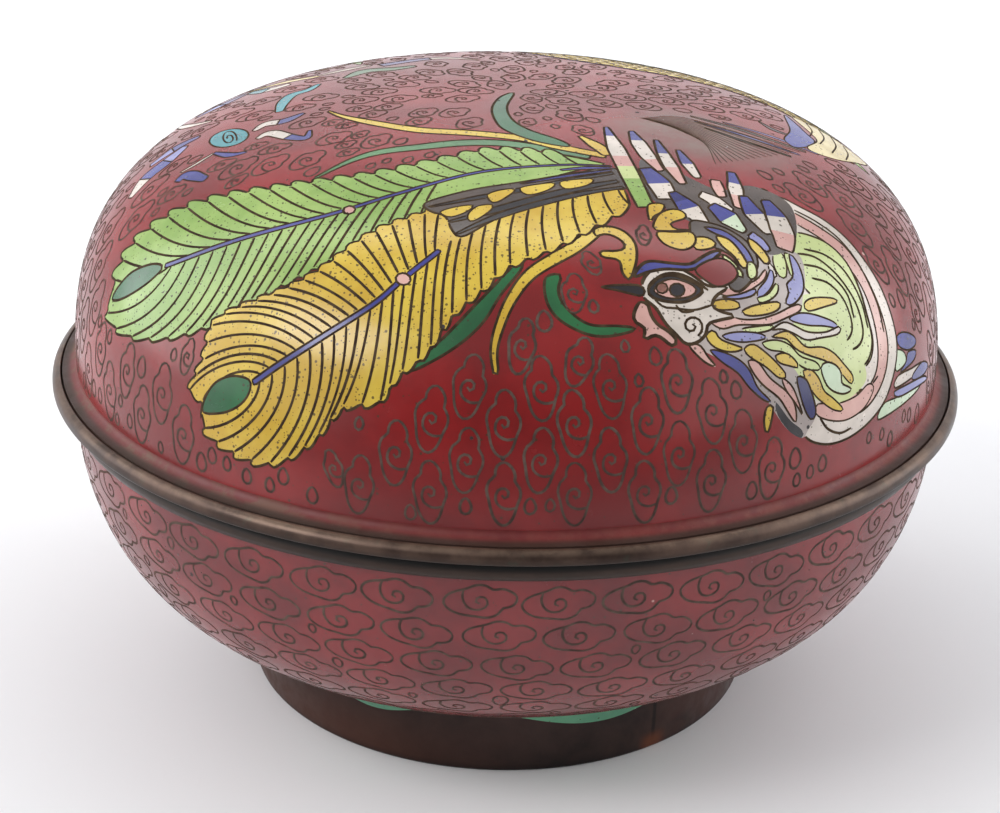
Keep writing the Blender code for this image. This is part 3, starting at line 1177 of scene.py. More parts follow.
def dragon_head(picture):
    for lock in DRAGON_MANE:
        picture.strip(["dull_green", "green"], lock, LOCK_BREADTHS, FINE)
    for horn in DRAGON_HORNS:
        picture.strip(["white", "cream"], horn, HORN_BREADTHS, FINE)
    picture.area("yellow", DRAGON_HEAD)
    picture.area("pink", DRAGON_MOUTH)
    for eye in DRAGON_EYES:
        picture.area("white", oval(eye, 2.0, 1.5), FINE)
        picture.area("black", oval(eye, 0.8, 0.8), 0)
    for brow in DRAGON_BROWS:
        picture.strip(["green"], brow, BROW_BREADTHS, FINE)
    for nostril in DRAGON_NOSE:
        picture.area("cream", oval(nostril, 1.8, 1.5), FINE)
        picture.area("black", oval(nostril, 0.6, 0.5), 0)
    for whisker in DRAGON_WHISKERS:
        picture.strip(["cream"], whisker, WHISKER_BREADTHS, FINE)


def flames_behind(picture):
    for k, line in enumerate(FLAMES):
        colours = ["blue", "white"] if k % 2 else ["turquoise", "blue"]
        picture.strip(colours, line, FLAME_BREADTHS, FINE)
    for middle in SPIRAL_CLOUDS:
        picture.area("turquoise", oval(middle, 4.0, 2.6, 20), FINE)
        picture.line(spiral(middle, start=1.8, end=0.4, turns=1.4, begin=20), FINE)
    picture.area("white", oval(PEARL, 3.6, 3.6))
    picture.area("pink", oval(PEARL, 2.0, 2.0), FINE)


def make_picture():
    picture = Picture()
    picture.mapped = as_drawn
    flames_behind(picture)
    dragon(picture)
    picture.mapped = on_plan
    figure_at_top(picture)
    upper_tendrils(picture)
    green_feather(picture)
    lower_leaves(picture)
    yellow_feather(picture)
    dark_heart(picture)
    breast_plume(picture)
    wing(picture)
    neck_and_head(picture)
    return picture


# Cloud scrolls, in millimetres: across to the left, and toward the rim
CLOUD = [
    (0.2, -5.0), (-0.8, -4.6), (-1.2, -3.6), (-1.2, -2.9), (-2.1, -2.1), (-2.5, -0.7), (-2.2, 0.9),
    (-2.0, 2.2), (-1.6, 3.6), (-0.8, 4.7), (0.1, 5.0), (1.0, 4.4), (1.6, 3.2), (2.0, 1.7), (2.5, 0.3),
    (2.3, -1.1), (1.6, -2.0), (1.7, -3.1), (1.1, -4.3),
]
CLOUD_CURL = [
    (1.8, 2.1), (0.8, 2.4), (-0.3, 2.1), (-1.1, 1.3), (-1.2, 0.2), (-0.8, -0.7), (0.0, -1.0),
    (0.7, -0.5), (0.6, 0.4), (0.0, 0.6), (-0.3, 0.1),
]
SMALL_CLOUD = [(0.0, -1.7), (-0.8, -0.9), (-1.1, 0.4), (-0.6, 1.4), (0.4, 1.5), (1.1, 0.5), (0.8, -0.8)]
CLOUD_HIGH = 10.0
CLOUD_WIDE = 5.0
MASK_STEP = 0.4
CORE = 0.5  # how much of an outline is tried in its middle, where a thin figure could pass

# Clouds on the lid, squatter towards its top: rows from the edge up, then scattered ones
LID_SEED = 31
LID_CLEAR = 0.2
LID_FIRST_ROW = 5.5
LID_LAST_ROW = 3.0
LID_PITCH = 2.14
LID_ROW_STEP = 0.54
LID_CROWDING = 0.93
LID_SCALES = (1.0, 0.94, 0.88, 0.82)
LID_EXTRA = 2600
LID_EXTRA_SCALES = (0.95, 0.82, 0.7, 0.6)
LID_SMALL = 5000
CLOUD_LEVELS = (30, 60, 85)
CLOUD_HEIGHTS = (0.62, 0.8, 1.0)
CLOUD_BREADTHS = (1.4, 1.15, 1.0)

# Clouds on the bowl, which lie on their sides
BOWL_SEED = 47
BOWL_CLEAR = 0.3
BOWL_FIRST_ROW = 3.9
BOWL_LOW_RADIUS = 48.6
BOWL_LAST_ROW = 2.0
BOWL_TILT = 90
BOWL_ROWS = 6.6
BOWL_PITCH = 12.4
BOWL_CLOUD = (1.12, 1.06)
BOWL_SCALES = (1.0, 0.92, 0.84, 0.76)
BOWL_EXTRA = 1500
BOWL_EXTRA_SCALES = (0.8, 0.66, 0.54)
BOWL_SMALL = 3000

# How far a cloud strays from its place, in millimetres, degrees and shares
ROW_JITTER = 0.25
ROW_LEAN = 6
EXTRA_LEAN = 20
EXTRA_BREADTHS = (0.85, 1.1)
SMALL_SCALES = (0.6, 1.15)
SMALL_MARGIN = 0.35
FIGURE_MARGIN = 0.3


class Ground:
    """Which parts of a plan are taken, as small squares."""

    def __init__(self, reach):
        self.reach = reach
        self.count = math.ceil(2 * reach / MASK_STEP)
        self.taken = np.zeros((self.count, self.count), bool)

    def cells(self, plan):
        found = np.floor((plan + self.reach) / MASK_STEP).astype(int)
        return np.clip(found, 0, self.count - 1)

    def take(self, polygon):
        low, high = self.cells(polygon.min(0)[None])[0], self.cells(polygon.max(0)[None])[0]
        xs = np.arange(low[0], high[0] + 1)
        ys = np.arange(low[1], high[1] + 1)
        grid = np.stack(np.meshgrid(xs, ys, indexing="ij"), -1).reshape(-1, 2)
        held = inside_polygon((grid + 0.5) * MASK_STEP - self.reach, polygon)
        self.taken[grid[held, 0], grid[held, 1]] = True

    def free(self, polygon):
        cells = self.cells(polygon)
        return not self.taken[cells[:, 0], cells[:, 1]].any()


def tilted(line, degrees):
    turn = math.radians(degrees)
    across = np.array((math.cos(turn), math.sin(turn)))
    return line[:, :1] * across + line[:, 1:] * np.array((-across[1], across[0]))


def spread(line, margin):
    """A closed line moved out from its middle."""
    middle = line.mean(0)
    arms = line - middle
    reach = np.linalg.norm(arms, axis=1, keepdims=True)
    return middle + arms * (1 + margin / np.maximum(reach, 0.1))


class Scrolls:
    """Cloud scrolls on a surface, laid one after another where the ground is free."""

    def __init__(self, surface, end, limit, seed):
        self.surface = surface
        self.ground = Ground(end + 2)
        self.limit = limit
        self.chance = random.Random(seed)
        self.wires = []

    def draw(self, along, angle, line):
        self.wires.append((self.surface.local(along, angle, line), WIRE, ON_RED))

    def lay(self, along, angle, outline, margin):
        """Draws an outline if there is room for it and its margin, and says whether there was."""
        plan = self.surface.local(along, angle, spread(outline, margin))
        core = self.surface.local(along, angle, outline * CORE)
        reach = np.hypot(plan[:, 0], plan[:, 1])
        inside = reach.min() >= self.limit[0] and reach.max() <= self.limit[1]
        if not (inside and self.ground.free(plan) and self.ground.free(core)):
            return False
        self.ground.take(plan)
        self.draw(along, angle, closed_up(outline))
        return True

    def clouds(self, places, scales, margin):
        """Tries every place at each scale. A place is distance, angle, tilt, height and breadth."""
        for scale in scales:
            for along, angle, tilt, height, breadth in places:
                size = (scale * height * breadth, scale * height)
                outline = tilted(smooth(CLOUD, True, step=0.6) * size, tilt)
                if self.lay(along, angle, outline, margin):
                    self.draw(along, angle, tilted(smooth(CLOUD_CURL, step=0.6) * size, tilt))

    def small_clouds(self, tries):
        """Fills what is left with small plain shapes."""
        for _ in range(tries):
            along, angle = self.spot()
            outline = smooth(SMALL_CLOUD, True, step=0.5) * self.chance.uniform(*SMALL_SCALES)
            self.lay(along, angle, outline, SMALL_MARGIN)

    def spot(self):
        """A distance and an angle, with equal chances all over the ground."""
        low, high = self.limit
        along = math.sqrt(self.chance.uniform(low**2, high**2))
        return along, self.chance.uniform(-math.pi, math.pi)

    def row(self, along, number, pitch, tilt, size):
        """Places for one row of clouds round the box, staggered against the next."""
        radius = float(self.surface.profile.place(along)[0])
        count = max(1, round(2 * math.pi * radius / pitch))
        places = []
        for k in range(count):
            angle = 2 * math.pi * (k + 0.5 * (number % 2)) / count
            angle += self.chance.uniform(-ROW_JITTER, ROW_JITTER) / radius
            lean = tilt + self.chance.uniform(-ROW_LEAN, ROW_LEAN)
            places.append((along + self.chance.uniform(-ROW_JITTER, ROW_JITTER), angle, lean, *size))
        return places

    def scattered(self, count, tilt, size_at):
        places = []
        for _ in range(count):
            along, angle = self.spot()
            height, breadth = size_at(along)
            lean = tilt + self.chance.uniform(-EXTRA_LEAN, EXTRA_LEAN)
            places.append((along, angle, lean, height, breadth * self.chance.uniform(*EXTRA_BREADTHS)))
        return places


def lid_cloud(along):
    """Height and breadth of a cloud as shares of the full size."""
    height = np.interp(along, CLOUD_LEVELS, CLOUD_HEIGHTS)
    breadth = np.interp(along, CLOUD_LEVELS, CLOUD_BREADTHS)
    return float(height), float(breadth)


def lid_clouds(picture):
    scrolls = Scrolls(LID, PICTURE_END, (0.0, PICTURE_END - LID_CLEAR), LID_SEED)
    for _, polygon in picture.areas:
        scrolls.ground.take(spread(polygon, FIGURE_MARGIN))
    scrolls.ground.take(on_plan(smooth(RUBBED_OUTLINE, True)))
    number, along, count = 0, PICTURE_END - LID_FIRST_ROW, 0
    while along > LID_LAST_ROW:
        size = lid_cloud(along)
        room = 2 * math.pi * float(DOME_PROFILE.place(along)[0])
        pitch = LID_PITCH * CLOUD_WIDE * size[0] * size[1]
        if count == 0 or room / count < LID_CROWDING * pitch:
            count = max(1, int(room / pitch))
        scrolls.clouds(scrolls.row(along, number, room / count, 0, size), LID_SCALES, margin=0.1)
        along -= LID_ROW_STEP * CLOUD_HIGH * size[0]
        number += 1
    scrolls.clouds(scrolls.scattered(LID_EXTRA, 0, lid_cloud), LID_EXTRA_SCALES, margin=0.12)
    scrolls.small_clouds(LID_SMALL)
    return scrolls.wires


def bowl_clouds():
    low = BOWL_PROFILE.along_at_radius(BOWL_LOW_RADIUS)
    scrolls = Scrolls(SIDE, BOWL_END, (low, BOWL_END - BOWL_CLEAR), BOWL_SEED)
    turns = np.linspace(-math.pi, math.pi, 180, endpoint=False)
    ends = red_end(turns)
    scrolls.ground.take(np.stack([np.cos(turns) * ends, np.sin(turns) * ends], -1))
    rows = np.arange(BOWL_END - BOWL_FIRST_ROW, low + BOWL_LAST_ROW, -BOWL_ROWS)
    for number, along in enumerate(rows):
        places = scrolls.row(float(along), number, BOWL_PITCH, BOWL_TILT, BOWL_CLOUD)
        scrolls.clouds(places, BOWL_SCALES, margin=0.16)
    extra = scrolls.scattered(BOWL_EXTRA, BOWL_TILT, lambda along: BOWL_CLOUD)
    scrolls.clouds(extra, BOWL_EXTRA_SCALES, margin=0.2)
    scrolls.small_clouds(BOWL_SMALL)
    return scrolls.wires


# Meshes


def new_piece(name, places, faces, materials, replaced=None):
    """A mesh object that rides on the box. Places are in millimetres."""
    mesh = bpy.data.meshes.new(name)
    mesh.from_pydata((np.asarray(places, float) * MM).tolist(), [], faces)
    piece = bpy.data.objects.new(name, mesh)
    bpy.context.scene.collection.objects.link(piece)
    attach(piece, BODY)
    if replaced:
        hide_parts(replaced)
    mesh.shade_smooth()
    for material in materials:
        mesh.materials.append(material)
    return piece


SHARP_DEGREES = 38


def paint(mesh, colours):
    """Gives each face the material of its number, and sharpens the corners."""
    mesh.polygons.foreach_set("material_index", np.array(colours, np.int32))
    mesh.set_sharp_from_angle(angle=math.radians(SHARP_DEGREES))


def ring_quads(first, second):
    """Faces between two rings of vertices, each from its own first index."""
    faces = []
    for k in range(AROUND):
        after = (k + 1) % AROUND
        faces.append((first + k, second + k, second + after, first + after))
    return faces


def ring_cap(ring, pole):
    return [(ring + k, pole, ring + (k + 1) % AROUND) for k in range(AROUND)]


def circle_rows(section):
    return [round_axis(radius, ANGLES, np.full(AROUND, level)) for radius, level in section]


def rounded(section, cut, steps=3):
    """A closed half section with its corners rounded off."""
    points = np.array(section, float)
    found = []
    for before, corner, after in zip(np.roll(points, 1, 0), points, np.roll(points, -1, 0)):
        arms = []
        for other in (before, after):
            length = np.linalg.norm(other - corner)
            arms.append(corner + (other - corner) / length * min(cut, length * 0.45))
        for step in range(steps + 1):
            found.append(bent_point(arms[0], corner, arms[1], step / steps))
    return found


def turned_ring(name, section, node, material):
    """A closed ring turned round the axis, its section running down its outer side."""
    rows = circle_rows(section)
    faces = []
    for k in range(len(rows)):
        faces += ring_quads(k * AROUND, (k + 1) % len(rows) * AROUND)
    new_piece(name, np.concatenate(rows), faces, [material], node)


FILL_STEP = 1.9
FILL_CLEAR = 0.8


def fill_points(lines):
    """Points in rings over the lid's plan, none of them close to a line."""
    tree = KDTree(len(lines))
    for k, (x, y) in enumerate(lines):
        tree.insert((x, y, 0.0), k)
    tree.balance()
    found = []
    for row in range(int(PICTURE_END / FILL_STEP)):
        along = row * FILL_STEP
        around = max(1, round(2 * math.pi * along / FILL_STEP))
        for k in range(around):
            turn = 2 * math.pi * (k + 0.5 * (row % 2)) / around
            place = (along * math.cos(turn), along * math.sin(turn))
            if tree.find((*place, 0.0))[2] > FILL_CLEAR:
                found.append(place)
    return np.array(found)


def picture_triangles(picture):
    """The lid's plan in triangles that follow the areas, and the plan's outer ring in order."""
    points = [np.stack([np.cos(ANGLES), np.sin(ANGLES)], -1) * PICTURE_END]
    edges = [(k, (k + 1) % AROUND) for k in range(AROUND)]
    count = AROUND
    for _, polygon in picture.areas:
        size = len(polygon)
        edges += [(count + k, count + (k + 1) % size) for k in range(size)]
        points.append(polygon)
        count += size
    lines = np.concatenate(points)
    given = np.concatenate([lines, fill_points(lines)])
    flat = [Vector((float(x), float(y))) for x, y in given]
    verts, _, faces, sources, _, _ = delaunay_2d_cdt(flat, edges, [], 0, 1e-4, True)
    plan = np.array([tuple(vert) for vert in verts])
    ring = [0] * AROUND
    for k, found in enumerate(sources):
        for source in found:
            if source < AROUND:
                ring[source] = k
    faces = np.array([tuple(face) for face in faces])
    a, b, c = plan[faces[:, 0]], plan[faces[:, 1]], plan[faces[:, 2]]
    turn = (b[:, 0] - a[:, 0]) * (c[:, 1] - a[:, 1]) - (b[:, 1] - a[:, 1]) * (c[:, 0] - a[:, 0])
    faces[turn < 0] = faces[turn < 0][:, ::-1]
    return plan, faces[np.abs(turn) > 1e-9], ring


def lid_piece(picture, materials):
    """The lid's shell: the picture in coloured triangles, and rings down to the edge and inside."""
    plan, triangles, ring = picture_triangles(picture)
    places, normals = LID.lay(plan)
    order = list(materials)
    centres = plan[triangles].mean(1)
    colours = np.zeros(len(triangles), int)
    for colour, polygon in picture.areas:
        colours[inside_polygon(centres, polygon)] = order.index(colour)
    faces = [tuple(face) for face in triangles.tolist()]
    colours = colours.tolist()

    cove = cove_points()[1:]
    inner = DOME.run(LID_EDGE, WALL, 40)[::-1]
    inside = [(LID_EDGE_RADIUS, LID_EDGE), (DOME_RADIUS - WALL, LID_EDGE)] + inner[:-1]
    rows = circle_rows(cove + inside)
    start = len(plan)
    for k in range(AROUND):
        after = (k + 1) % AROUND
        faces.append((ring[k], start + k, start + after, ring[after]))
        colours.append(order.index("cove"))
    for row in range(len(rows) - 1):
        faces += ring_quads(start + row * AROUND, start + (row + 1) * AROUND)
        name = "cove" if row < len(cove) + 1 else "inside"
        colours += [order.index(name)] * AROUND
    pole = start + len(rows) * AROUND
    faces += ring_cap(pole - AROUND, pole)
    colours += [order.index("inside")] * AROUND

    everything = np.concatenate([places] + rows + [[[0.0, 0.0, inner[-1][1]]]])
    piece = new_piece("lid_enamel", everything, faces, materials.values(), "lid_shell")
    paint(piece.data, colours)
    set_normals(piece.data, normals)


def set_normals(mesh, normals):
    """Gives the first vertices their surface's own normals and leaves the rest as they are."""
    own = np.empty(len(mesh.loops) * 3)
    mesh.corner_normals.foreach_get("vector", own)
    own = own.reshape(-1, 3)
    index = np.empty(len(mesh.loops), np.int32)
    mesh.loops.foreach_get("vertex_index", index)
    drawn = index < len(normals)
    own[drawn] = normals[index[drawn]]
    mesh.normals_split_custom_set(own.tolist())


WIRE_SEED = 5
WIRE_WIDTHS = (0.9, 1.1)
WIRE_TIP = 0.7
TONE_SPREAD = 0.12


def wire_piece(name, surface, wires, material):
    """Thin crowned ribbons along the wires. Each wire is plan points, width and tone."""
    chance = random.Random(WIRE_SEED)
    places, faces, tones = [], [], []
    count = 0
    for plan, width, tone in wires:
        middle, normals = surface.lay(resampled(plan, WIRE_STEP))
        way = directions(middle)
        half = np.full((len(middle), 1), width / 2 * chance.uniform(*WIRE_WIDTHS))
        half[[0, -1]] *= WIRE_TIP
        across = np.cross(normals, way) * half
        places += [
            middle + across + normals * WIRE_EDGE_RISE,
            middle + normals * WIRE_CROWN,
            middle - across + normals * WIRE_EDGE_RISE,
        ]
        size = len(middle)
        for first in range(count, count + 2 * size, size):
            for k in range(first, first + size - 1):
                faces.append((k, k + size, k + size + 1, k + 1))
        tones.append(np.full(size * 3, tone + chance.uniform(-TONE_SPREAD, TONE_SPREAD)))
        count += size * 3
    piece = new_piece(name, np.concatenate(places), faces, [material])
    tone_data = piece.data.attributes.new("tone", "FLOAT", "POINT")
    tone_data.data.foreach_set("value", np.concatenate(tones).astype(np.float32))


def figure_wires(picture):
    """The picture's wires, without the stretches that later areas cover."""
    found = []
    for plan, width, order in picture.wires:
        line = resampled(plan, WIRE_STEP / 2)
        shown = ~picture.covered(line, order)
        changes = np.flatnonzero(np.diff(np.concatenate([[0], shown.astype(int), [0]])))
        for start, end in zip(changes[::2], changes[1::2]):
            if end - start > 2:
                found.append((line[start:end], width, IN_FIGURE))
    return found


# The run of enamel at the foot: its depth, and its place and spread in radians from the front
RUN_LEFT = (4.0, -0.48, 0.26)
RUN_RIGHT = (4.6, 0.4, 0.4)
RUN_BEHIND = 0.5
RUN_LEAST = 0.12

# For each millimetre of depth, how far the run starts out on the bowl, bends and reaches down
RUN_OUT = 0.7
RUN_BEND_OUT = 0.12
RUN_BEND_DOWN = 0.4
RUN_DOWN = 1.1
RUN_PROUD = 0.05
RUN_SUNK = 0.25
RED_END_RADIUS = 45.8


def run_part(from_front, depth, place, reach):
    return depth * np.exp(-(((from_front - place) / reach) ** 2))


def joint_run(angles):
    """How deep the blue-green enamel runs, mostly to the left and right of the front."""
    from_front = np.arctan2(np.sin(angles + math.pi / 2), np.cos(angles + math.pi / 2))
    left = run_part(from_front, *RUN_LEFT)
    right = run_part(from_front, *RUN_RIGHT)
    behind = RUN_BEHIND * (0.5 - 0.5 * np.cos(from_front)) ** 2 * (1 + np.sin(from_front * 5))
    return RUN_LEAST + left + right + behind


def red_end(angles):
    """How far along the bowl its red ends, near the foot."""
    radii = RED_END_RADIUS + joint_run(angles)
    return np.array([BOWL_PROFILE.along_at_radius(radius) for radius in radii])


def joint_piece(material, rows=6):
    """A run of enamel from the bowl's underside down over the top of the foot."""
    run = joint_run(ANGLES)
    top = FOOT_TOP_RADIUS + RUN_OUT * run
    level = BOWL.level_at(FOOT_TOP_RADIUS)
    start = np.stack([top, BOWL.level_at(top) + RUN_PROUD], -1)
    out = FOOT_TOP_RADIUS + RUN_BEND_OUT + RUN_BEND_OUT * run
    middle = np.stack([out, level - RUN_BEND_DOWN * run], -1)
    end = np.stack([np.full(AROUND, FOOT_TOP_RADIUS - RUN_SUNK), level - RUN_DOWN * run], -1)
    places, faces = [], []
    for row in range(rows + 1):
        spot = bent_point(start, middle, end, row / rows)
        places.append(round_axis(spot[:, 0], ANGLES, spot[:, 1]))
        if row:
            faces += ring_quads((row - 1) * AROUND, row * AROUND)
    new_piece("bowl_joint", np.concatenate(places), faces, [material])


def bowl_piece(materials, red_rows=46, under_rows=24):
    """The bowl's shell: red outside, blue-green under its edge and inside."""
    ends = red_end(ANGLES)
    inner = BOWL.run(BOWL_EDGE, WALL, 48)
    inside = [(BOWL.radius_at(BOWL_EDGE) - WALL, BOWL_EDGE)] + inner[:0:-1]
    rows = circle_rows(inside[::-1])
    colours = [1] * AROUND * len(rows)
    for row in range(red_rows + 1):
        along = BOWL_END + (ends - BOWL_END) * row / red_rows
        rows.append(SIDE.at(along, ANGLES)[0])
        colours += [0 if row < red_rows else 1] * AROUND
    for row in range(1, under_rows):
        rows.append(SIDE.at(ends * (1 - row / under_rows), ANGLES)[0])
        colours += [1] * AROUND
    faces = []
    for row in range(len(rows) - 1):
        faces += ring_quads(row * AROUND, (row + 1) * AROUND)
    colours = colours[: len(faces)]
    pole = len(rows) * AROUND
    faces += ring_cap(pole - AROUND, pole)
    faces += [face[::-1] for face in ring_cap(0, pole + 1)]
    colours += [1] * AROUND * 2
    poles = [[0.0, 0.0, BOWL_UNDERSIDE], [0.0, 0.0, inner[0][1]]]
    places = np.concatenate(rows + [poles])
    piece = new_piece("bowl_enamel", places, faces, materials.values(), "bowl_shell")
    paint(piece.data, colours)


# Materials


def linear(red, green, blue):
    """A colour as a photograph shows it, from 0 to 255, as light."""
    found = []
    for value in (red, green, blue):
        share = value / 255
        found.append(share / 12.92 if share <= 0.04045 else ((share + 0.055) / 1.055) ** 2.4)
    return (*found, 1.0)


class Nodes:
    """The nodes of a material or a world, added one at a time."""

    def __init__(self, owner, coords="Object"):
        owner.use_nodes = True
        self.owner = owner
        self.tree = owner.node_tree
        self.coords = self.add("ShaderNodeTexCoord", {}).outputs[coords]

    def put(self, socket, value):
        if isinstance(value, bpy.types.NodeSocket):
            self.tree.links.new(value, socket)
        else:
            socket.default_value = value

    def add(self, kind, given, **settings):
        """A node with its settings, and with a value or a link for each input that is given."""
        node = self.tree.nodes.new(kind)
        for name, value in settings.items():
            setattr(node, name, value)
        for name, value in given.items():
            self.put(node.inputs[name], value)
        return node

    def noise(self, scale, detail=3.0, roughness=0.55, distortion=0.0):
        given = {"Vector": self.coords, "Scale": scale, "Detail": detail, "Roughness": roughness}
        return self.add("ShaderNodeTexNoise", {**given, "Distortion": distortion}).outputs["Fac"]

    def spots(self, scale, share, size, soft):
        """Round spots in a share of the cells, up to a size in cells."""
        cells = self.add("ShaderNodeTexVoronoi", {"Vector": self.coords, "Scale": scale})
        chance = self.add("ShaderNodeSeparateColor", {0: cells.outputs["Color"]}).outputs[0]
        reach = self.ramp(chance, 1 - share, 1.0, 0.0, size)
        return self.ramp(self.math("SUBTRACT", reach, cells.outputs["Distance"]), 0.0, soft)

    def math(self, kind, *values):
        return self.add("ShaderNodeMath", dict(enumerate(values)), operation=kind).outputs[0]

    def times(self, first, second):
        return self.math("MULTIPLY", first, second)

    def ramp(self, value, low, high, to_low=0.0, to_high=1.0):
        """A smooth step from one value to another."""
        given = {"Value": value, "From Min": low, "From Max": high, "To Min": to_low, "To Max": to_high}
        return self.add("ShaderNodeMapRange", given, interpolation_type="SMOOTHSTEP").outputs[0]

    def mix(self, share, first, second):
        return self.add("ShaderNodeMix", {0: share, 6: first, 7: second}, data_type="RGBA").outputs[2]

    def stain(self, share, base, *colour):
        """A colour from 0 to 255 laid over the base."""
        return self.mix(share, base, linear(*colour))

    def bump(self, height, strength, distance, under=None):
        given = {"Height": height, "Strength": strength, "Distance": distance}
        if under is not None:
            given["Normal"] = under
        return self.add("ShaderNodeBump", given).outputs[0]

    def place(self):
        """The place on the box in metres: x, y and z."""
        return tuple(self.add("ShaderNodeSeparateXYZ", {0: self.coords}).outputs)

    def attribute(self, name):
        return self.add("ShaderNodeAttribute", {}, attribute_name=name).outputs["Fac"]

    def finish(self, colour, roughness, normal, metallic=0.0, specular=0.5):
        inputs = self.tree.nodes["Principled BSDF"].inputs
        inputs["Specular IOR Level"].default_value = specular
        self.put(inputs["Base Color"], colour)
        self.put(inputs["Roughness"], roughness)
        self.put(inputs["Metallic"], metallic)
        self.put(inputs["Normal"], normal)
        return self.owner


def material_nodes(name):
    return Nodes(bpy.data.materials.new(name))


GLAZE_SMOOTH = 0.22
GLAZE_WORN = 0.28
RUBBED_PLACE = (0.031, -0.016)
RUBBED_REACH = (0.017, 0.012)


def rubbed_patch(nodes, base):
    """A patch near the top of the lid that is rubbed to grey-brown."""
    x, y, z = nodes.place()
    offs = []
    for value, middle, reach in zip((x, y), RUBBED_PLACE, RUBBED_REACH):
        offs.append(nodes.math("DIVIDE", nodes.math("SUBTRACT", value, middle), reach))
    squares = [nodes.times(off, off) for off in offs]
    far = nodes.math("SQRT", nodes.math("ADD", *squares))
    strength = nodes.ramp(nodes.noise(130, 4, 0.7), 0.3, 0.6, 0.45, 0.95)
    patch = nodes.times(nodes.ramp(far, 1.2, 0.4), strength)
    patch = nodes.times(patch, nodes.ramp(z, 0.09, 0.1))
    return nodes.stain(patch, base, 112, 84, 74)


def enamel(name, colour, deep, speckle, pits, rubbed=False):
    """Fired glass: soft mottling, fine dark specks, pits, and a few pale chips."""
    nodes = material_nodes(name)
    base = nodes.mix(nodes.ramp(nodes.noise(70, 4, 0.6), 0.36, 0.66), linear(*deep), linear(*colour))
    small = nodes.spots(2300, speckle * 0.6, 0.36, 0.12)
    specks = nodes.math("MAXIMUM", nodes.spots(1250, speckle, 0.34, 0.1), small)
    base = nodes.stain(nodes.times(specks, 0.78), base, 56, 44, 26)
    if rubbed:
        base = rubbed_patch(nodes, base)
    pit = nodes.spots(430, 0.12 * pits, 0.2, 0.06)
    base = nodes.stain(pit, base, 30, 18, 16)
    chip = nodes.spots(300, 0.035, 0.11, 0.04)
    base = nodes.stain(nodes.times(chip, 0.8), base, 205, 170, 160)
    worn = nodes.ramp(nodes.noise(240, 3, 0.65), 0.4, 0.75, GLAZE_SMOOTH, GLAZE_WORN)
    rough = nodes.math("ADD", worn, nodes.times(pit, 0.4))
    return nodes.finish(base, rough, nodes.bump(pit, -0.5, 0.00012), specular=0.6)


def wire_metal():
    """Cloisonne wire, brown-grey on the red and darker in the figures."""
    nodes = material_nodes("cloisonne_wire")
    tone = nodes.ramp(nodes.attribute("tone"), 0.0, 1.0)
    patches = nodes.ramp(nodes.noise(500, 3, 0.6), 0.35, 0.7)
    on_red = nodes.mix(patches, linear(72, 58, 53), linear(100, 84, 76))
    figure = nodes.mix(patches, linear(52, 40, 30), linear(78, 64, 48))
    base = nodes.mix(tone, on_red, figure)
    bright = nodes.ramp(nodes.noise(140, 4, 0.7), 0.68, 0.82, 0.0, 0.6)
    base = nodes.stain(bright, base, 140, 112, 86)
    rough = nodes.ramp(patches, 0.0, 1.0, 0.72, 0.85)
    bumps = nodes.bump(nodes.noise(1500, 2), 0.15, 0.0001)
    return nodes.finish(base, rough, bumps, specular=0.06)


def cove_enamel():
    """The lid's lowest edge: red, rubbed pinkish brown over the lip, and dirty at the left."""
    nodes = material_nodes("worn_cove")
    x, _, z = nodes.place()
    wear = nodes.noise(160, 5, 0.7)
    base = nodes.mix(nodes.ramp(wear, 0.3, 0.7), linear(96, 18, 20), linear(112, 28, 27))
    low = nodes.ramp(z, (BEAD_TOP + 2.2) * MM, (BEAD_TOP + 0.6) * MM)
    rubbed = nodes.times(low, nodes.ramp(nodes.noise(420, 5, 0.75), 0.38, 0.62, 0.1, 0.85))
    right = nodes.ramp(x, -0.02, 0.06, 0.2, 0.9)
    base = nodes.stain(nodes.times(rubbed, right), base, 122, 62, 52)
    left = nodes.times(nodes.ramp(x, 0.0, -0.05), nodes.ramp(wear, 0.42, 0.62, 0.0, 0.75))
    base = nodes.stain(nodes.times(left, low), base, 96, 84, 68)
    base = nodes.stain(nodes.ramp(z, (BEAD_TOP + 0.5) * MM, BEAD_TOP * MM, 0.0, 0.9), base, 52, 40, 32)
    rough = nodes.ramp(wear, 0.3, 0.7, 0.5, 0.7)
    return nodes.finish(base, rough, nodes.bump(nodes.noise(600, 4), 0.25, 0.0002))


def worn_enamel():
    """A patch rubbed and burnt to grey-brown."""
    nodes = material_nodes("worn_enamel")
    wear = nodes.noise(260, 5, 0.7, 0.4)
    base = nodes.mix(nodes.ramp(wear, 0.35, 0.65), linear(112, 62, 50), linear(140, 96, 82))
    streak = nodes.ramp(nodes.noise(900, 3, 0.7), 0.5, 0.75, 0.0, 0.7)
    base = nodes.stain(streak, base, 70, 44, 36)
    rough = nodes.ramp(wear, 0.3, 0.7, 0.35, 0.6)
    return nodes.finish(base, rough, nodes.bump(wear, 0.3, 0.0003))


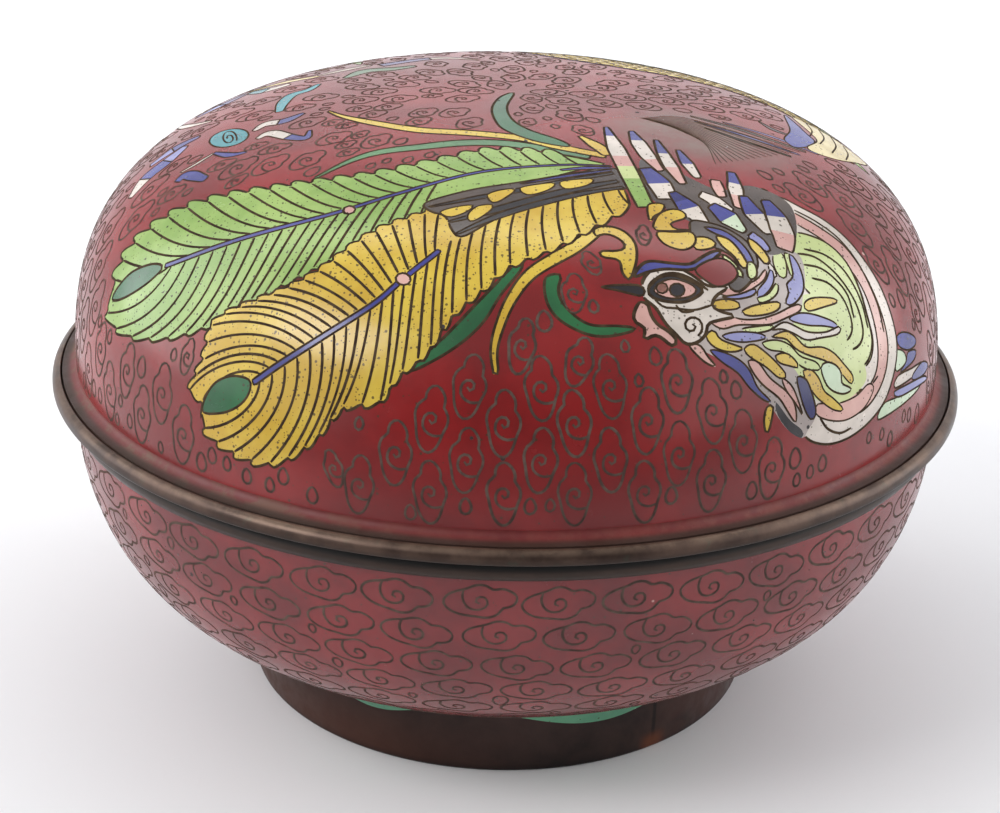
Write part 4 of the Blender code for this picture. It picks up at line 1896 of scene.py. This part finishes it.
def rim_copper():
    """Brown copper, rubbed lighter along its top, with painted shade low on the lip and a painted shadow,
    near black, where the rims meet.
    """
    nodes = material_nodes("rim_copper")
    z = nodes.place()[2]
    cloud = nodes.noise(90, 5, 0.65)
    base = nodes.mix(nodes.ramp(cloud, 0.32, 0.68), linear(56, 41, 35), linear(92, 72, 62))
    green = nodes.ramp(nodes.noise(240, 5, 0.7), 0.58, 0.72, 0.0, 0.35)
    base = nodes.stain(green, base, 58, 76, 64)
    top = nodes.ramp(z, (BEAD_TOP - 1.1) * MM, (BEAD_TOP - 0.2) * MM)
    rubbed = nodes.times(top, nodes.ramp(nodes.noise(200, 4, 0.7), 0.35, 0.65, 0.1, 0.6))
    base = nodes.stain(rubbed, base, 126, 104, 88)
    # Painted shade: the lowest part of the lip made darker, as its lower side lies in shade
    edge = nodes.ramp(z, (LIP_UNDERSIDE + 1.3) * MM, (LIP_UNDERSIDE + 0.2) * MM, 0.0, 0.7)
    base = nodes.stain(edge, base, 38, 28, 23)
    # Painted shadow: the band's top under the lid's lip made near black and less metallic, as if the lip
    # shades it
    above = nodes.ramp(z, LIP_UNDERSIDE * MM, (LIP_UNDERSIDE - 0.2) * MM)
    painted_gap_shadow = nodes.times(nodes.ramp(z, (SEAT - 2.0) * MM, (SEAT - 1.0) * MM), above)
    base = nodes.stain(painted_gap_shadow, base, 12, 9, 8)
    rough = nodes.math("ADD", nodes.ramp(cloud, 0.3, 0.7, 0.32, 0.46), nodes.times(painted_gap_shadow, 0.4))
    bumps = nodes.bump(nodes.noise(1400, 3, 0.6), 0.12, 0.0001, nodes.bump(cloud, 0.15, 0.0006))
    return nodes.finish(base, rough, bumps, nodes.math("SUBTRACT", 0.6, nodes.times(painted_gap_shadow, 0.6)))


SEAM_FROM_FRONT = 36.8


def foot_copper():
    """Dark brown copper, redder at the left, with its joint at the right."""
    nodes = material_nodes("foot_copper")
    x, y, z = nodes.place()
    cloud = nodes.noise(70, 5, 0.65, 0.3)
    base = nodes.mix(nodes.ramp(cloud, 0.32, 0.68), linear(36, 28, 27), linear(60, 44, 40))
    left = nodes.times(nodes.ramp(x, 0.01, -0.03), nodes.ramp(z, 0.013, 0.001, 0.1, 0.9))
    base = nodes.stain(left, base, 76, 44, 33)
    right = nodes.times(nodes.ramp(x, 0.02, 0.045), nodes.ramp(cloud, 0.4, 0.6, 0.1, 0.6))
    base = nodes.stain(right, base, 84, 48, 40)
    base = nodes.stain(nodes.ramp(z, 0.0016, 0.0002, 0.0, 0.6), base, 24, 18, 17)
    around = nodes.math("ARCTAN2", x, nodes.times(y, -1.0))
    off = nodes.math("ABSOLUTE", nodes.math("SUBTRACT", around, math.radians(SEAM_FROM_FRONT)))
    seam = nodes.ramp(off, 0.013, 0.004)
    base = nodes.stain(nodes.times(seam, 0.85), base, 22, 15, 14)
    stain = nodes.times(nodes.ramp(off, 0.08, 0.01), nodes.ramp(z, 0.004, 0.0015, 0.0, 0.7))
    base = nodes.stain(stain, base, 120, 66, 40)
    rough = nodes.ramp(nodes.noise(300, 4), 0.3, 0.7, 0.34, 0.54)
    dents = nodes.bump(nodes.noise(110, 3), 0.25, 0.0008)
    joint = nodes.bump(seam, -0.5, 0.0004, dents)
    return nodes.finish(base, rough, nodes.bump(nodes.noise(1600, 3), 0.1, 0.0001, joint), 0.65)


# The lid's plain enamels: their colour, its deeper shade, and how many specks and pits they have
LID_ENAMELS = {
    "yellow": ((208, 180, 66), (188, 152, 44), 1.0, 0.8),
    "green": ((148, 174, 94), (122, 154, 74), 0.8, 0.4),
    "deep_green": ((34, 100, 56), (26, 80, 46), 0.25, 0.3),
    "dull_green": ((84, 128, 84), (64, 104, 66), 0.3, 0.3),
    "pale_green": ((200, 208, 148), (180, 192, 126), 0.6, 0.4),
    "white_green": ((206, 214, 190), (178, 198, 166), 0.4, 0.4),
    "white": ((218, 206, 196), (192, 182, 172), 0.5, 0.5),
    "cream": ((222, 204, 150), (196, 176, 120), 0.5, 0.4),
    "pink": ((212, 168, 158), (188, 142, 134), 0.45, 0.4),
    "lavender": ((138, 138, 186), (116, 116, 168), 0.3, 0.3),
    "blue": ((62, 64, 140), (46, 48, 116), 0.3, 0.3),
    "navy": ((28, 28, 100), (22, 22, 80), 0.2, 0.2),
    "turquoise": ((60, 140, 150), (44, 116, 124), 0.3, 0.3),
    "black": ((40, 36, 40), (28, 24, 28), 0.1, 0.2),
    "grey": ((178, 166, 160), (150, 138, 134), 0.4, 0.4),
    "shade": ((84, 72, 66), (62, 52, 48), 0.2, 0.3),
}


def lid_materials():
    """By colour name. The ground comes first."""
    found = {"red": enamel("red_enamel", (134, 19, 20), (112, 13, 15), 0.08, 0.4, rubbed=True)}
    for name, looks in LID_ENAMELS.items():
        found[name] = enamel(name + "_enamel", *looks)
    found["worn"] = worn_enamel()
    found["cove"] = cove_enamel()
    found["inside"] = enamel("lid_inside_enamel", (74, 150, 138), (58, 128, 118), 0.3, 0.6)
    return found


def bowl_materials():
    return {
        "red": enamel("bowl_red_enamel", (126, 24, 27), (102, 16, 21), 0.1, 0.6),
        "under": enamel("bowl_under_enamel", (96, 158, 122), (76, 134, 104), 0.3, 0.6),
    }


# The copper rings

RIM_CORNER = 0.3
FOOT_CORNER = 0.25


def lip_section():
    inner_bead = LIP_RADIUS - LIP_BEAD
    plate_top = LIP_UNDERSIDE + LIP_PLATE
    rise = BEAD_TOP - LIP_UNDERSIDE
    return [
        (inner_bead, BEAD_TOP),
        (LIP_RADIUS - LIP_BEAD * 0.45, BEAD_TOP - EDGE * 0.75),
        (LIP_RADIUS - LIP_BEAD * 0.1, BEAD_TOP - EDGE * 2.2),
        (LIP_RADIUS, LIP_UNDERSIDE + rise * 0.43),
        (LIP_RADIUS, LIP_UNDERSIDE + EDGE * 0.75),
        (LIP_RADIUS - EDGE, LIP_UNDERSIDE),
        (DOME_RADIUS - WALL, LIP_UNDERSIDE),
        (DOME_RADIUS - WALL, plate_top),
        (inner_bead, plate_top),
    ]


def band_section():
    lid_inside = min(DOME_RADIUS - WALL, DOME.radius_at(COLLAR_TOP) - WALL)
    collar_outer = lid_inside - COLLAR_PLAY
    collar_inner = collar_outer - COLLAR_WALL
    return [
        (collar_inner + EDGE, COLLAR_TOP),
        (collar_outer - EDGE, COLLAR_TOP),
        (collar_outer, COLLAR_TOP - EDGE),
        (collar_outer, SEAT),
        (BAND_RADIUS - BAND_REACH * 0.85, SEAT),
        (BAND_RADIUS - BAND_REACH * 0.28, SEAT - BAND_HEIGHT * 0.17),
        (BAND_RADIUS, SEAT - BAND_HEIGHT * 0.46),
        (BAND_RADIUS - BAND_REACH * 0.08, SEAT - BAND_HEIGHT * 0.72),
        (BAND_RADIUS - BAND_REACH * 0.5, BAND_BOTTOM),
        (BOWL.radius_at(BOWL_EDGE) - WALL, BAND_BOTTOM),
        (collar_inner, SEAT - EDGE),
        (collar_inner, COLLAR_TOP - EDGE),
    ]


def foot_section():
    inner = FOOT_RADIUS - FOOT_WALL
    top_inner = inner + FOOT_SPREAD
    return [
        (top_inner, BOWL.level_at(top_inner) - JOINT_GAP),
        (FOOT_TOP_RADIUS, BOWL.level_at(FOOT_TOP_RADIUS) - JOINT_GAP),
        (FOOT_RADIUS + FOOT_SPREAD / 2, BOWL_UNDERSIDE / 2),
        (FOOT_RADIUS, EDGE),
        (FOOT_RADIUS - EDGE, 0.0),
        (inner + EDGE / 2, 0.0),
        (inner, EDGE / 2),
    ]


# The studio


FLOOR_FRONT, FLOOR_BACK = -1.6, 0.75
FLOOR_HALF = 2.0
SWEEP = 0.45
SWEEP_STEPS = 12
WALL_TOP = 1.8


def make_stage():
    """A pale floor that sweeps up behind, with painted shade in front, so that the bowl reflects a dark
    room.
    """
    section = [(FLOOR_FRONT, 0.0), (FLOOR_BACK, 0.0)]
    for step in range(1, SWEEP_STEPS + 1):
        turn = math.pi / 2 * step / SWEEP_STEPS
        section.append((FLOOR_BACK + SWEEP * math.sin(turn), SWEEP - SWEEP * math.cos(turn)))
    section.append((FLOOR_BACK + SWEEP, WALL_TOP))
    places, faces = [], []
    for y, z in section:
        places += [(-FLOOR_HALF, y, z), (FLOOR_HALF, y, z)]
    for k in range(len(section) - 1):
        faces.append((2 * k, 2 * k + 1, 2 * k + 3, 2 * k + 2))
    mesh = bpy.data.meshes.new("floor")
    mesh.from_pydata(places, [], faces)
    floor = bpy.data.objects.new("floor", mesh)
    bpy.context.scene.collection.objects.link(floor)
    mesh.shade_smooth()
    nodes = material_nodes("paper")
    paper = nodes.mix(nodes.ramp(nodes.noise(3, 3), 0.3, 0.7), (0.8, 0.8, 0.82, 1), (0.84, 0.84, 0.85, 1))
    # Painted shade: the floor darkens towards the front, standing in for a dark room that the bowl reflects
    near = nodes.ramp(nodes.place()[1], -0.1, -0.3, 0.0, 0.8)
    paper = nodes.mix(near, paper, (0.1, 0.1, 0.1, 1))
    mesh.materials.append(nodes.finish(paper, 0.7, nodes.bump(nodes.noise(900, 2), 0.02, 0.0002)))


def panel(name, place, aim, size, power):
    """A soft oblong light that faces a point."""
    data = bpy.data.lights.new(name, "AREA")
    data.shape = "RECTANGLE"
    data.size, data.size_y = size
    data.energy = power
    light = bpy.data.objects.new(name, data)
    light.location = place
    light.rotation_euler = (Vector(aim) - Vector(place)).to_track_quat("-Z", "Y").to_euler()
    bpy.context.scene.collection.objects.link(light)


def light_scene():
    """A white room, brightest at the back and sides, and dark in front, with two soft panels."""
    world = bpy.data.worlds.new("studio")
    nodes = Nodes(world, "Generated")
    x, y, z = nodes.place()
    back = nodes.times(nodes.ramp(y, -0.45, 0.2), nodes.ramp(z, 0.95, 0.5))
    level = nodes.math("ADD", nodes.ramp(z, 0.3, 0.9, 0.22, 0.5), nodes.times(back, 2.1))
    sides = nodes.times(nodes.ramp(nodes.math("ABSOLUTE", x), 0.45, 0.85), nodes.ramp(z, 0.95, 0.6))
    level = nodes.math("ADD", level, nodes.times(sides, 1.2))
    background = nodes.tree.nodes["Background"]
    nodes.put(background.inputs["Color"], (0.98, 0.99, 1.0, 1.0))
    nodes.put(background.inputs["Strength"], level)
    bpy.context.scene.world = world
    panel("left", place=(-0.7, -0.5, 0.78), aim=(0.0, 0.0, 0.05), size=(0.5, 0.4), power=4.5)
    panel("wash", place=(0.0, 0.35, 1.0), aim=(0.0, 1.2, 0.3), size=(1.6, 0.6), power=8.0)
    bpy.context.scene.view_settings.view_transform = "Standard"


def main():
    make_camera()
    make_stage()
    light_scene()
    picture = make_picture()
    lid_piece(picture, lid_materials())
    metal = wire_metal()
    lid_lines = figure_wires(picture) + lid_clouds(picture)
    wire_piece("lid_wires", LID, lid_lines, metal)
    bowl_colours = bowl_materials()
    bowl_piece(bowl_colours)
    joint_piece(bowl_colours["under"])
    wire_piece("bowl_wires", SIDE, bowl_clouds(), metal)
    copper = rim_copper()
    turned_ring("lid_lip", rounded(lip_section(), RIM_CORNER), "lid_rim", copper)
    turned_ring("bowl_band", rounded(band_section(), RIM_CORNER), "bowl_rim", copper)
    turned_ring("foot", rounded(foot_section(), FOOT_CORNER), "foot_ring", foot_copper())


main()
